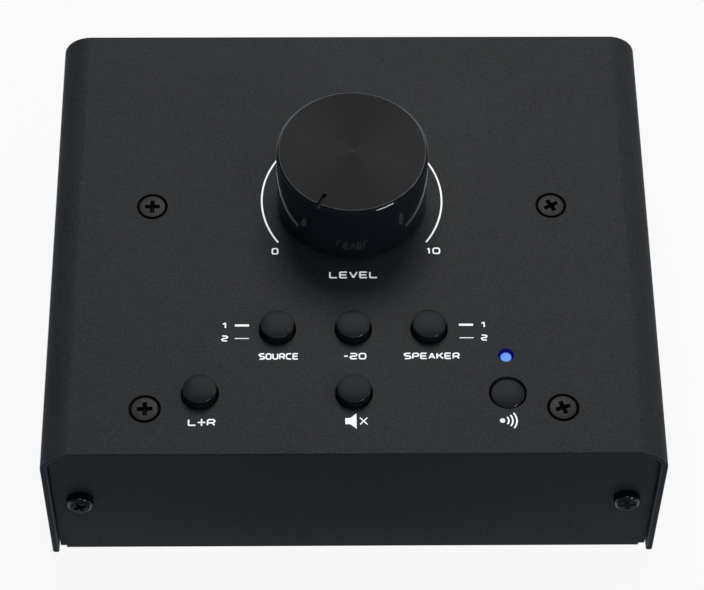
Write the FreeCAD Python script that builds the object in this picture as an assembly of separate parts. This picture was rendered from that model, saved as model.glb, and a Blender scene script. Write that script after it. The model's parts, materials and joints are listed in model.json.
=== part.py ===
import FreeCAD, Part
import math
import os

# Studio monitor controller: a folded steel case with a volume knob, six push buttons and a lamp
# on top, and four stacked pairs of 6.35 mm jacks behind.
# Millimetres. +X right, +Y to the rear, +Z up. The origin is on the table under the case's centre.

V = FreeCAD.Vector
UP = V(0, 0, 1)
DOWN = V(0, 0, -1)
FRONT = V(0, -1, 0)
REAR = V(0, 1, 0)

# ---------------------------------------------------------------- driving dimensions

# Case
case_width = 140.0
case_depth = 119.0
case_height = 44.0        # tray's underside to the cover's top
cover_sheet = 1.5
cover_bend = 6.8          # outer radius of the cover's two long bends
tray_sheet = 1.4
tray_bend = 0.5           # outer radius of the sharp fold under the front panel
panel_inset = 1.2         # front and rear panels behind the cover's edges
panel_side_gap = 0.35     # panel to the cover's side wall
panel_top_gap = 0.4       # panel to the cover's top
relief_width = 1.4        # bend relief at the front panel's lower corners
relief_height = 1.3

# Feet
foot_radius = 5.0
foot_height = 2.0
foot_taper = 0.6
foot_inset = 16.0         # foot's centre from the case's sides and ends

# Screws, all M3
thread_radius = 1.5
thread_clearance = 0.02   # tapped hole around a thread
screw_clearance = 0.2     # plain hole around a thread
pan_radius = 3.0
pan_height = 2.4
pan_round = 1.1
flat_radius = 3.0         # countersunk head
flat_rim = 0.6            # straight rim above the head's cone
sink_radius = 3.6         # countersink in the cover
recess_span = 3.3         # cross recess, at the head's face
recess_arm = 0.85
recess_foot_span = 1.5    # cross recess, at its foot
recess_foot_arm = 0.5
recess_depth = 1.2
case_screw_length = 6.0
top_screw_length = 6.0
board_screw_length = 5.0

# Brackets inside the cover that take the case screws
bracket_sheet = 1.5
bracket_width = 12.0
bracket_height = 12.0
bracket_depth = 12.0
bracket_bend = 1.2
case_screw_inset = 7.9    # case screw's axis from the case's side
case_screw_drop = 21.2    # case screw's axis below the cover's top

# Top panel layout
knob_rear_inset = 49.5        # knob's axis from the case's rear edge
top_screw_x = 46.7
top_screw_rear_inset = 51.3
top_screw_front_inset = 11.9
button_front_inset = 15.85    # front row of buttons from the case's front edge
button_pitch = 17.25          # between columns and between the two rows
lamp_step = 10.05             # lamp behind the front row of buttons
top_screw_turns = {(-1, 1): 0, (1, 1): 28, (-1, -1): 2, (1, -1): 20}
case_screw_turns = {(-1, -1): 24, (1, -1): 8, (-1, 1): 40, (1, 1): 15}

# Control board and its spacers
board_sheet = 1.6
spacer_length = 12.0
spacer_flats = 5.5
board_margin = 5.3        # board's edge from its outer screws
board_rear_margin = 2.0   # board's edge behind the volume control
pin_clearance = 0.12      # board hole around a solder pin, each side
pin_tail = 1.2            # solder pin below its board

# Volume control
pot_radius = 8.5
pot_wall = 1.0
pot_board_gap = 0.8       # housing above the board
pot_plate = 0.8
bushing_radius = 3.5
bushing_length = 7.0      # above the mounting plate
bushing_clearance = 0.15  # cover's hole around the bushing
shaft_radius = 3.0
shaft_clearance = 0.05    # shaft in the bushing
shaft_length = 15.0       # above the mounting plate
shaft_flat = 1.5          # D flat from the shaft's axis
shaft_collar_radius = 4.4
shaft_collar = 1.0
shaft_end_play = 0.1
journal_radius = 2.0
rotor_height = 4.0
rotor_clearance = 0.6
pot_nut_flats = 10.0
pot_nut_height = 2.0
pot_washer_radius = 6.0
pot_washer_height = 0.5
pot_pin_row = 5.0         # between the two rows of solder pins
pot_pin_pitch = 5.0
pot_pin_width = 1.0

# Knob
knob_radius = 17.5
knob_gap = 1.0            # knob above the cover
knob_height = 18.0
knob_wall = 2.2
knob_roof = 2.5
knob_chamfer = 0.6
notch_reach = 13.8        # pointer notch's inner end from the knob's axis
notch_width = 0.9
notch_depth = 0.9
pointer_angle = 27.0      # pointer from straight ahead, towards the left
core_ring_wall = 1.5
core_web = 2.0
core_hub_radius = 6.0
core_rib = 1.4
core_rib_count = 6
core_recess = 1.5         # core's ring above the knob's lower edge
hub_clearance = 0.5       # hub above the bushing's end
press_clearance = 0.03

# Buttons and their latching switches
button_radius = 3.8
button_hole_radius = 4.25
button_proud = 2.5        # button's face above the cover when out
button_travel = 2.5
button_round = 0.3
button_dome = 0.25
switch_side = 8.5
switch_height = 7.0
switch_wall = 0.8
button_gap = 0.3          # pressed button above its switch
slider_side = 6.4
slider_height = 1.6
slider_gap = 0.1          # slider under the switch's lid
stem_side = 3.0
stem_clearance = 0.15
stem_fit = 0.03           # stem in the button's socket
stem_engagement = 4.0
spring_radius = 2.1
spring_wire = 0.45
spring_turns = 1.5
spring_seat = 0.05        # spring's end coils off the slider and the switch's floor
switch_pin_pitch = 2.0
switch_pin_row = 5.0
switch_pin_width = 0.5

# Lamp
lamp_radius = 1.5
lamp_hole_radius = 1.75
lamp_flange_radius = 1.9
lamp_flange = 1.0
lamp_length = 5.3
lamp_sunk = 0.25          # lamp's dome below the cover's face
sleeve_wall = 0.4
lead_pitch = 2.54
lead_width = 0.5

# Jack board
standoff_height = 4.0
standoff_flats = 5.5
standoff_neck_radius = 2.1
clinch_clearance = 0.02
jack_board_depth = 36.0
jack_board_rear_gap = 1.5     # board's edge from the rear panel
jack_board_screw_inset = 4.0
jack_board_screw_gap = 1.2    # screw's head beside the jacks and the inlet

# Jacks, 6.35 mm, stacked in pairs, spread evenly with the power inlet at the end of the row
jack_pair_count = 4
jack_first_inset = 27.0   # first pair's axis from the case's left side
inlet_inset = 30.0        # inlet's axis from the case's right side
jack_width = 16.0
jack_depth = 28.0
jack_low = 8.0            # lower bore's axis above the jack board
jack_rise = 16.0          # upper bore's axis above the lower
jack_crown = 8.0          # housing above the upper bore's axis
jack_bore_radius = 3.25
jack_bore_length = 31.0
jack_bushing_radius = 4.7
jack_bushing_length = 4.6     # beyond the rear panel's inner face
jack_hole_clearance = 0.2
jack_nut_flats = 12.0
jack_nut_height = 2.2
jack_washer_radius = 6.5
jack_washer_height = 0.5
jack_mouth = 0.5          # chamfer at the bore's mouth
jack_edge = 0.6
jack_pin_rows = 3
jack_pin_pitch = 6.0
jack_pin_span = 11.0
jack_pin_width = 0.9

# Power inlet, 5.5 mm barrel
inlet_width = 9.0
inlet_height = 11.0
inlet_depth = 14.0
inlet_axis = 6.5          # bore's axis above the jack board
inlet_collar_radius = 4.2
inlet_collar_clearance = 0.2
inlet_collar_proud = 0.3
inlet_bore_radius = 3.15
inlet_bore_length = 9.5
inlet_pin_radius = 1.0
inlet_pin_sunk = 1.0      # centre pin's tip inside the mouth
inlet_leg_pitch = 4.5
inlet_leg_width = 1.0

# Ribbon cable and its headers
header_width = 22.0
header_depth = 5.5
header_height = 5.0
header_rear_margin = 4.0  # upper header's axis from the control board's rear edge
header_front_margin = 5.1 # lower header's axis from the jack board's front edge
ribbon_width = 18.0
ribbon_thickness = 0.9
ribbon_bend = 2.5         # middle of the cable's thickness

# Loose components
capacitor_radius = 3.15
capacitor_height = 7.7
capacitor_pitch = 7.5
capacitor_start = 17.0    # first capacitor on each side of the ribbon cable
capacitor_count = 3       # on each side
receiver_inset = 17.0     # receiver's middle from the control board's left edge
receiver_step = 25.0      # receiver's middle in front of the knob's axis
receiver_width = 20.0
receiver_depth = 14.0
receiver_sheet = 0.8
can_width = 12.0
can_depth = 10.0
can_height = 1.8

# ---------------------------------------------------------------- places that follow from them

base = foot_height
case_top = base + case_height
cover_under = case_top - cover_sheet
floor_top = base + tray_sheet
side_inner = case_width / 2 - cover_sheet
cover_front = -case_depth / 2
cover_rear = case_depth / 2
panel_face = case_depth / 2 - panel_inset        # outer face of the front and rear panels, from y = 0
panel_back = panel_face - tray_sheet
panel_half = side_inner - panel_side_gap
panel_top = cover_under - panel_top_gap
inner_bend = cover_bend - cover_sheet
panel_corner = inner_bend + panel_top_gap - panel_side_gap
floor_half = panel_half - relief_width
case_screw_z = case_top - case_screw_drop

knob_y = cover_rear - knob_rear_inset
top_screw_rear_y = cover_rear - top_screw_rear_inset
top_screw_front_y = cover_front + top_screw_front_inset
case_screw_x = case_width / 2 - case_screw_inset
deck = cover_under - spacer_length               # control board's upper face
board_under = deck - board_sheet
board_half = top_screw_x + board_margin
board_front = top_screw_front_y - board_margin
board_rear = knob_y + pot_radius + board_rear_margin
top_screw_spots = {
    (-1, 1): (-top_screw_x, top_screw_rear_y),
    (1, 1): (top_screw_x, top_screw_rear_y),
    (-1, -1): (-top_screw_x, top_screw_front_y),
    (1, -1): (top_screw_x, top_screw_front_y),
}

front_row_y = cover_front + button_front_inset
rear_row_y = front_row_y + button_pitch
button_spots = {
    "input": (-button_pitch, rear_row_y),
    "dim": (0.0, rear_row_y),
    "monitor": (button_pitch, rear_row_y),
    "mono": (-2 * button_pitch, front_row_y),
    "mute": (0.0, front_row_y),
    "wireless": (2 * button_pitch, front_row_y),
}
latched_buttons = ("wireless",)                  # pressed in, level with the cover
lamp_x = 2 * button_pitch
lamp_y = front_row_y + lamp_step

bushing_top = cover_under + bushing_length
shaft_top = cover_under + shaft_length
knob_bottom = case_top + knob_gap
knob_top = knob_bottom + knob_height
knob_ceiling = knob_top - knob_roof

jack_deck = floor_top + standoff_height + board_sheet
jack_board_under = jack_deck - board_sheet
jack_board_rear = panel_back - jack_board_rear_gap
jack_board_front = jack_board_rear - jack_board_depth
jack_axes = (jack_deck + jack_low, jack_deck + jack_low + jack_rise)
jack_top = jack_axes[1] + jack_crown
jack_pitch = (case_width - jack_first_inset - inlet_inset) / jack_pair_count
jack_columns = [jack_first_inset - case_width / 2 + step * jack_pitch for step in range(jack_pair_count)]
jack_bushing_end = panel_back + jack_bushing_length
jack_spots = [(x, z) for x in jack_columns for z in jack_axes]
inlet_x = case_width / 2 - inlet_inset
inlet_z = jack_deck + inlet_axis
inlet_mouth = panel_face + inlet_collar_proud

upper_header_y = board_rear - header_rear_margin
lower_header_y = jack_board_front + header_front_margin
receiver_x = receiver_inset - board_half
receiver_y = knob_y - receiver_step

parts = {}


# ---------------------------------------------------------------- small helpers

def block(x_range, y_range, z_range):
    """Box between two limits on each axis."""
    corner = V(x_range[0], y_range[0], z_range[0])
    return Part.makeBox(x_range[1] - x_range[0], y_range[1] - y_range[0], z_range[1] - z_range[0], corner)


def around(middle, size):
    """Limits of a length centred on a value."""
    return (middle - size / 2, middle + size / 2)


def rod(x, y, bottom, top, radius):
    """Upright cylinder."""
    return Part.makeCylinder(radius, top - bottom, V(x, y, bottom), UP)


def rod_to_rear(x, z, start, end, radius):
    """Cylinder lying along Y."""
    return Part.makeCylinder(radius, end - start, V(x, start, z), REAR)


def cone(x, y, bottom, top, radius_bottom, radius_top):
    """Upright cone."""
    return Part.makeCone(radius_bottom, radius_top, top - bottom, V(x, y, bottom), UP)


def hexagon(flats, height):
    """Hexagonal prism on the origin, pointing up, by its size across the flats."""
    corner = flats / (2 * math.cos(math.radians(30)))
    angles = [math.radians(60 * step) for step in range(7)]
    outline = Part.makePolygon([V(corner * math.cos(a), corner * math.sin(a), 0) for a in angles])
    return Part.Face(outline).extrude(V(0, 0, height))


def placed(shape, spot, direction=UP, turn=0.0):
    """Copy of a shape made around the origin, turned about its own axis, aimed and moved."""
    aim = FreeCAD.Rotation(UP, direction).multiply(FreeCAD.Rotation(UP, turn))
    copy = shape.copy()
    copy.Placement = FreeCAD.Placement(V(*spot), aim)
    return copy


def rounded(solid, radius, wanted):
    """Rounds the edges whose middle passes the test."""
    return solid.makeFillet(radius, [edge for edge in solid.Edges if wanted(edge.CenterOfMass)])


def bevelled(solid, size, wanted):
    """Chamfers the edges whose middle passes the test."""
    return solid.makeChamfer(size, [edge for edge in solid.Edges if wanted(edge.CenterOfMass)])


def at(value, target):
    """True where a coordinate lies on a plane."""
    return abs(value - target) < 1e-4


def group(solids):
    """Separate solids kept together in one node."""
    return Part.makeCompound(solids)


def arch(half_width, top, bend, bottom, front, rear):
    """Block whose two upper edges, running front to rear, are rounded."""
    shoulder = top - bend
    inner = half_width - bend
    lift = bend * math.sin(math.radians(45))
    left_foot = V(-half_width, front, bottom)
    left_shoulder = V(-half_width, front, shoulder)
    left_middle = V(-inner - lift, front, shoulder + lift)
    left_top = V(-inner, front, top)
    right_top = V(inner, front, top)
    right_middle = V(inner + lift, front, shoulder + lift)
    right_shoulder = V(half_width, front, shoulder)
    right_foot = V(half_width, front, bottom)
    edges = [
        Part.LineSegment(left_foot, left_shoulder),
        Part.Arc(left_shoulder, left_middle, left_top),
        Part.LineSegment(left_top, right_top),
        Part.Arc(right_top, right_middle, right_shoulder),
        Part.LineSegment(right_shoulder, right_foot),
        Part.LineSegment(right_foot, left_foot),
    ]
    outline = Part.Wire([edge.toShape() for edge in edges])
    return Part.Face(outline).extrude(V(0, rear - front, 0))


# ---------------------------------------------------------------- screws

def cross_outline(span, arm, height):
    """Outline of a cross with four equal arms."""
    far = span / 2
    near = arm / 2
    quarter = [(near, near), (near, far), (-near, far)]
    points = []
    for step in range(4):
        turn = FreeCAD.Rotation(UP, 90 * step)
        points += [turn.multVec(V(x, y, 0)) + V(0, 0, height) for x, y in quarter]
    return Part.makePolygon(points + points[:1])


def cross_recess(face):
    """Tapering cross-shaped pocket below a screw's face."""
    upper = cross_outline(recess_span, recess_arm, face)
    lower = cross_outline(recess_foot_span, recess_foot_arm, face - recess_depth)
    return Part.makeLoft([upper, lower], True, True)


def pan_screw(length):
    """Pan-head screw: the head stands on z = 0, the thread hangs below."""
    head = Part.makeCylinder(pan_radius, pan_height)
    head = rounded(head, pan_round, lambda middle: at(middle.z, pan_height))
    thread = rod(0, 0, -length, 0, thread_radius)
    return head.fuse(thread).cut(cross_recess(pan_height)).removeSplitter()


def flat_screw(length):
    """Countersunk screw: the head's face is at z = 0."""
    cone_height = flat_radius - thread_radius
    rim = rod(0, 0, -flat_rim, 0, flat_radius)
    head = cone(0, 0, -flat_rim - cone_height, -flat_rim, thread_radius, flat_radius)
    thread = rod(0, 0, -length, -flat_rim, thread_radius)
    return rim.fuse([head, thread]).cut(cross_recess(0)).removeSplitter()


# ---------------------------------------------------------------- case

def make_cover():
    """Bent cover: top and two sides, open below, in front and behind."""
    outside = arch(case_width / 2, case_top, cover_bend, base, cover_front, cover_rear)
    inside = arch(side_inner, cover_under, inner_bend, base, cover_front, cover_rear)
    holes = [rod(0, knob_y, cover_under, case_top, bushing_radius + bushing_clearance)]
    for x, y in button_spots.values():
        holes.append(rod(x, y, cover_under, case_top, button_hole_radius))
    holes.append(rod(lamp_x, lamp_y, cover_under, case_top, lamp_hole_radius))
    for x, y in top_screw_spots.values():
        holes.append(cone(x, y, cover_under, case_top, sink_radius - cover_sheet, sink_radius))
    return outside.cut(inside).cut(holes)


def screw_holes(side):
    """Plain holes for the case screws in the front (-1) or the rear (1) panel."""
    across = sorted((side * panel_back, side * panel_face))
    return [rod_to_rear(i * case_screw_x, case_screw_z, *across, thread_radius + screw_clearance)
            for i, j in case_screw_turns if j == side]


def make_tray():
    """Bent tray: front panel and floor."""
    outside = block((-panel_half, panel_half), (-panel_face, panel_back), (base, case_top))
    outside = rounded(outside, tray_bend, lambda middle: at(middle.z, base) and at(middle.y, -panel_face))
    inside = block((-panel_half, panel_half), (-panel_back, panel_back), (floor_top, case_top))
    tray = outside.cut(inside)
    tray = tray.common(arch(panel_half, panel_top, panel_corner, base, -panel_face, panel_back))
    reliefs = []
    for side in (-1, 1):
        edge = sorted((side * floor_half, side * panel_half))
        reliefs.append(block(edge, (-panel_face, panel_back), (base, base + relief_height)))
    clinches = [rod(x, y, base, floor_top, standoff_neck_radius + clinch_clearance)
                for x, y in standoff_spots()]
    return tray.cut(reliefs + clinches + screw_holes(-1))


def make_rear_panel():
    """Flat rear panel against the tray's floor, held by the jacks' nuts and two case screws."""
    panel = arch(panel_half, panel_top, panel_corner, base, panel_back, panel_face)
    jack_hole = jack_bushing_radius + jack_hole_clearance
    collar_hole = inlet_collar_radius + inlet_collar_clearance
    holes = [rod_to_rear(x, z, panel_back, panel_face, jack_hole) for x, z in jack_spots]
    holes.append(rod_to_rear(inlet_x, inlet_z, panel_back, panel_face, collar_hole))
    return panel.cut(holes + screw_holes(1))


def make_brackets():
    """Four tapped angle brackets welded inside the cover's side walls, behind the panels."""
    brackets = []
    for i, j in case_screw_turns:
        height = around(case_screw_z, bracket_height)
        across = sorted((i * side_inner, i * (side_inner - bracket_width)))
        depth = sorted((j * panel_back, j * (panel_back - bracket_depth)))
        solid = block(across, depth, height)
        hollow_across = sorted((i * (side_inner - bracket_sheet), i * (side_inner - bracket_width)))
        hollow_depth = sorted((j * (panel_back - bracket_sheet), j * (panel_back - bracket_depth)))
        solid = solid.cut(block(hollow_across, hollow_depth, height))
        solid = rounded(solid, bracket_bend, lambda middle: at(middle.x, i * side_inner)
                        and at(middle.y, j * panel_back))
        thread = rod_to_rear(i * case_screw_x, case_screw_z, *depth, thread_radius + thread_clearance)
        brackets.append(solid.cut(thread))
    return group(brackets)


def make_case_screws():
    """Two screws in the front panel and two in the rear one."""
    screw = pan_screw(case_screw_length)
    screws = []
    for (i, j), turn in case_screw_turns.items():
        spot = (i * case_screw_x, j * panel_face, case_screw_z)
        screws.append(placed(screw, spot, FRONT if j < 0 else REAR, turn))
    return group(screws)


def make_feet():
    """Four stuck-on rubber feet, narrower at the table."""
    across = case_width / 2 - foot_inset
    along = case_depth / 2 - foot_inset
    spots = [(i * across, j * along) for i in (-1, 1) for j in (-1, 1)]
    return group([cone(x, y, 0, foot_height, foot_radius - foot_taper, foot_radius) for x, y in spots])


# ---------------------------------------------------------------- control board

def sunk_face():
    """Height of the countersunk heads, where their cone meets the cover's."""
    return case_top - (sink_radius - flat_radius) + flat_rim


def make_top_screws():
    """Countersunk screws that hold the spacers under the cover."""
    screw = flat_screw(top_screw_length)
    return group([placed(screw, (*top_screw_spots[key], sunk_face()), UP, turn)
                  for key, turn in top_screw_turns.items()])


def make_spacers():
    """Hexagonal spacers between the cover and the control board, tapped right through."""
    spacers = []
    mouth_depth = max(sink_radius - cover_sheet - thread_radius, thread_clearance)
    mouth_radius = thread_radius + thread_clearance + mouth_depth
    for x, y in top_screw_spots.values():
        spacer = placed(hexagon(spacer_flats, spacer_length), (x, y, deck))
        thread = rod(x, y, deck, cover_under, thread_radius + thread_clearance)
        mouth = cone(x, y, cover_under - mouth_depth, cover_under, mouth_radius - mouth_depth, mouth_radius)
        spacers.append(spacer.cut([thread, mouth]))
    return group(spacers)


def make_board_screws():
    """Pan-head screws from below the control board into the spacers."""
    screw = pan_screw(board_screw_length)
    return group([placed(screw, (x, y, board_under), DOWN) for x, y in top_screw_spots.values()])


def pot_pin_spots():
    """Solder pins under the volume control: two rows of three."""
    return [(column * pot_pin_pitch, knob_y + row * pot_pin_row / 2)
            for row in (-1, 1) for column in (-1, 0, 1)]


def switch_pin_spots():
    """Solder pins under the switches: two rows of three each."""
    return [(x + column * switch_pin_pitch, y + row * switch_pin_row / 2)
            for x, y in button_spots.values() for row in (-1, 1) for column in (-1, 0, 1)]


def lead_spots():
    """The lamp's two leads."""
    return [(lamp_x + side * lead_pitch / 2, lamp_y) for side in (-1, 1)]


def pins(spots, width, bottom, top):
    """Square pins between two heights."""
    return [block(around(x, width), around(y, width), (bottom, top)) for x, y in spots]


def make_control_board():
    """Board that carries the volume control, the switches and the lamp."""
    board = block((-board_half, board_half), (board_front, board_rear), (board_under, deck))
    holes = [rod(x, y, board_under, deck, thread_radius + screw_clearance)
             for x, y in top_screw_spots.values()]
    holes += pins(pot_pin_spots(), pot_pin_width + 2 * pin_clearance, board_under, deck)
    holes += pins(switch_pin_spots(), switch_pin_width + 2 * pin_clearance, board_under, deck)
    holes += pins(lead_spots(), lead_width + 2 * pin_clearance, board_under, deck)
    return board.cut(holes)


# ---------------------------------------------------------------- volume control

pot_bottom = deck + pot_board_gap
pot_plate_under = cover_under - pot_plate
cavity_floor = pot_bottom + pot_wall
collar_top = pot_plate_under - shaft_end_play
collar_under = collar_top - shaft_collar
rotor_bottom = collar_under - rotor_height


def make_pot_housing():
    """Round housing, open towards the cover."""
    outside = rod(0, knob_y, pot_bottom, pot_plate_under, pot_radius)
    return outside.cut(rod(0, knob_y, cavity_floor, pot_plate_under, pot_radius - pot_wall))


def make_pot_bushing():
    """Mounting plate with the threaded bushing that comes up through the cover."""
    plate = rod(0, knob_y, pot_plate_under, cover_under, pot_radius)
    bushing = rod(0, knob_y, cover_under, bushing_top, bushing_radius)
    bore = rod(0, knob_y, pot_plate_under, bushing_top, shaft_radius + shaft_clearance)
    return plate.fuse(bushing).cut(bore).removeSplitter()


def make_pot_washer():
    """Flat washer on the cover, around the bushing."""
    top = case_top + pot_washer_height
    washer = rod(0, knob_y, case_top, top, pot_washer_radius)
    return washer.cut(rod(0, knob_y, case_top, top, bushing_radius + thread_clearance))


def make_pot_nut():
    """Hexagonal nut that clamps the volume control to the cover."""
    bottom = case_top + pot_washer_height
    nut = placed(hexagon(pot_nut_flats, pot_nut_height), (0, knob_y, bottom))
    return nut.cut(rod(0, knob_y, bottom, bottom + pot_nut_height, bushing_radius + thread_clearance))


def pointer_turn(solid):
    """Turns a solid about the knob's axis from straight ahead to the pointer's direction."""
    solid.rotate(V(0, knob_y, 0), UP, -pointer_angle)
    return solid


def make_pot_shaft():
    """Shaft with a collar under the plate, a journal for the rotor and a D-shaped end."""
    journal = rod(0, knob_y, rotor_bottom, collar_under, journal_radius)
    collar = rod(0, knob_y, collar_under, collar_top, shaft_collar_radius)
    shaft = rod(0, knob_y, collar_top, shaft_top, shaft_radius)
    behind_flat = (knob_y - shaft_radius, knob_y - shaft_flat)
    flat = block((-shaft_radius, shaft_radius), behind_flat, (bushing_top, shaft_top))
    return pointer_turn(journal.fuse([collar, shaft]).cut(flat).removeSplitter())


def make_pot_rotor():
    """Wiper carrier pressed on the shaft's journal."""
    radius = pot_radius - pot_wall - rotor_clearance
    rotor = rod(0, knob_y, rotor_bottom, collar_under, radius)
    return rotor.cut(rod(0, knob_y, rotor_bottom, collar_under, journal_radius + press_clearance))


# ---------------------------------------------------------------- knob

def make_knob_shell():
    """Turned shell with a chamfered face and a notch for a pointer."""
    shell = rod(0, knob_y, knob_bottom, knob_top, knob_radius)
    shell = bevelled(shell, knob_chamfer, lambda middle: at(middle.z, knob_top))
    shell = shell.cut(rod(0, knob_y, knob_bottom, knob_ceiling, knob_radius - knob_wall))
    reach = (knob_y - knob_radius, knob_y - notch_reach)
    notch = block(around(0, notch_width), reach, (knob_top - notch_depth, knob_top))
    return shell.cut(pointer_turn(notch))


def make_knob_core():
    """Moulded core in the shell: ring, web, ribs and a hub with a D-shaped socket."""
    outer = knob_radius - knob_wall - press_clearance
    inner = outer - core_ring_wall
    ring_bottom = knob_bottom + core_recess
    hub_bottom = bushing_top + hub_clearance
    web_bottom = knob_ceiling - core_web
    ring = rod(0, knob_y, ring_bottom, knob_ceiling, outer)
    ring = ring.cut(rod(0, knob_y, ring_bottom, web_bottom, inner))
    hub = rod(0, knob_y, hub_bottom, web_bottom, core_hub_radius)
    ribs = []
    for step in range(core_rib_count):
        rib = block((core_hub_radius / 2, inner + core_ring_wall / 2), around(knob_y, core_rib),
                    (hub_bottom, web_bottom))
        rib.rotate(V(0, knob_y, 0), UP, step * 360 / core_rib_count)
        ribs.append(rib)
    fit = shaft_radius + press_clearance
    socket = rod(0, knob_y, hub_bottom, shaft_top + press_clearance, fit)
    flat_range = (knob_y - fit, knob_y - shaft_flat - press_clearance)
    socket = socket.cut(block((-fit, fit), flat_range, (hub_bottom, shaft_top + press_clearance)))
    core = ring.fuse([hub] + ribs).removeSplitter()
    return core.cut(pointer_turn(socket))


# ---------------------------------------------------------------- buttons

switch_top = deck + switch_height
switch_floor = deck + switch_wall
switch_ceiling = switch_top - switch_wall
slider_rest = switch_ceiling - slider_gap        # slider's upper face when the button is out
button_bottom = switch_top + button_gap + button_travel
button_top = case_top + button_proud
stem_top = button_bottom + stem_engagement


def button_drop(name):
    """How far a button stands in at rest."""
    return button_travel if name in latched_buttons else 0.0


def make_button_cap(x, y, drop):
    """Round cap with a slightly domed face and a square socket below."""
    rim = button_top - button_dome
    sphere_radius = (button_radius ** 2 + button_dome ** 2) / (2 * button_dome)
    cap = rod(x, y, button_bottom, button_top, button_radius)
    dome = Part.makeSphere(sphere_radius, V(x, y, button_top - sphere_radius))
    cap = cap.common(dome)
    cap = rounded(cap, button_round, lambda middle: at(middle.z, rim))
    socket_side = stem_side + 2 * stem_fit
    cap = cap.cut(block(around(x, socket_side), around(y, socket_side), (button_bottom, stem_top)))
    cap.translate(V(0, 0, -drop))
    return cap


def make_plunger(x, y, drop):
    """Switch slider with the square stem that carries the cap."""
    slider = block(around(x, slider_side), around(y, slider_side), (slider_rest - slider_height, slider_rest))
    stem = block(around(x, stem_side), around(y, stem_side), (slider_rest, stem_top))
    plunger = slider.fuse(stem).removeSplitter()
    plunger.translate(V(0, 0, -drop))
    return plunger


def make_switch(x, y):
    """Square switch housing with a lid around the stem."""
    outside = block(around(x, switch_side), around(y, switch_side), (deck, switch_top))
    cavity_side = switch_side - 2 * switch_wall
    cavity = block(around(x, cavity_side), around(y, cavity_side), (switch_floor, switch_ceiling))
    opening_side = stem_side + 2 * stem_clearance
    opening = block(around(x, opening_side), around(y, opening_side), (switch_ceiling, switch_top))
    return outside.cut([cavity, opening])


def make_spring(x, y, drop):
    """Coil spring between the switch's floor and the slider."""
    bottom = switch_floor + spring_seat + spring_wire / 2
    top = slider_rest - slider_height - drop - spring_seat - spring_wire / 2
    pitch = (top - bottom) / spring_turns
    helix = Part.makeHelix(pitch, top - bottom, spring_radius)
    section = Part.Circle(V(spring_radius, 0, 0), REAR, spring_wire / 2)
    quarter = math.pi / 2
    arcs = [Part.Edge(section, step * quarter, (step + 1) * quarter) for step in range(4)]
    coil = Part.Wire(helix).makePipeShell([Part.Wire(arcs)], True, True)
    coil.translate(V(x, y, bottom))
    return coil


# ---------------------------------------------------------------- lamp

def lamp_foot():
    """Height of the lamp's underside."""
    return case_top - lamp_sunk - lamp_length


def make_lamp():
    """Lamp body: flange, cylinder and dome."""
    foot = lamp_foot()
    shoulder = foot + lamp_length - lamp_radius
    flange = rod(lamp_x, lamp_y, foot, foot + lamp_flange, lamp_flange_radius)
    barrel = rod(lamp_x, lamp_y, foot, shoulder, lamp_radius)
    dome = Part.makeSphere(lamp_radius, V(lamp_x, lamp_y, shoulder))
    return flange.fuse([barrel, dome]).removeSplitter()


def make_lamp_sleeve():
    """Tube that holds the lamp at its height above the board."""
    sleeve = rod(lamp_x, lamp_y, deck, lamp_foot(), lamp_flange_radius + sleeve_wall)
    return sleeve.cut(rod(lamp_x, lamp_y, deck, lamp_foot(), lamp_flange_radius))


# ---------------------------------------------------------------- jack board

def screw_columns():
    """Jack board's screws, beside the first jack pair and beside the inlet."""
    beside = jack_board_screw_gap + pan_radius
    return (jack_columns[0] - jack_width / 2 - beside, inlet_x + inlet_width / 2 + beside)


def standoff_spots():
    """Places of the jack board's standoffs, near its corners."""
    rear = jack_board_rear - jack_board_screw_inset
    front = jack_board_front + jack_board_screw_inset
    return [(x, y) for y in (front, rear) for x in screw_columns()]


def jack_pin_spots():
    """Solder pins under the jack pairs: two columns of each."""
    middle = panel_back - jack_depth / 2
    return [(x + side * jack_pin_span / 2, middle + (row - 1) * jack_pin_pitch)
            for x in jack_columns for side in (-1, 1) for row in range(jack_pin_rows)]


def inlet_leg_spots():
    """Two legs under the power inlet."""
    middle = panel_back - inlet_depth / 2
    return [(inlet_x, middle + side * inlet_leg_pitch / 2) for side in (-1, 1)]


def make_jack_board():
    """Board that carries the jacks and the power inlet."""
    left, right = screw_columns()
    across = (left - jack_board_screw_inset, right + jack_board_screw_inset)
    board = block(across, (jack_board_front, jack_board_rear), (jack_board_under, jack_deck))
    holes = [rod(x, y, jack_board_under, jack_deck, thread_radius + screw_clearance)
             for x, y in standoff_spots()]
    holes += pins(jack_pin_spots(), jack_pin_width + 2 * pin_clearance, jack_board_under, jack_deck)
    holes += pins(inlet_leg_spots(), inlet_leg_width + 2 * pin_clearance, jack_board_under, jack_deck)
    return board.cut(holes)


def make_standoffs():
    """Standoffs clinched into the tray's floor."""
    standoffs = []
    for x, y in standoff_spots():
        body = placed(hexagon(standoff_flats, standoff_height), (x, y, floor_top))
        neck = rod(x, y, base, floor_top, standoff_neck_radius)
        thread = rod(x, y, base, jack_board_under, thread_radius + thread_clearance)
        standoffs.append(body.fuse(neck).cut(thread).removeSplitter())
    return group(standoffs)


def make_jack_board_screws():
    """Pan-head screws that hold the jack board down."""
    screw = pan_screw(board_screw_length)
    return group([placed(screw, (x, y, jack_deck)) for x, y in standoff_spots()])


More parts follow.
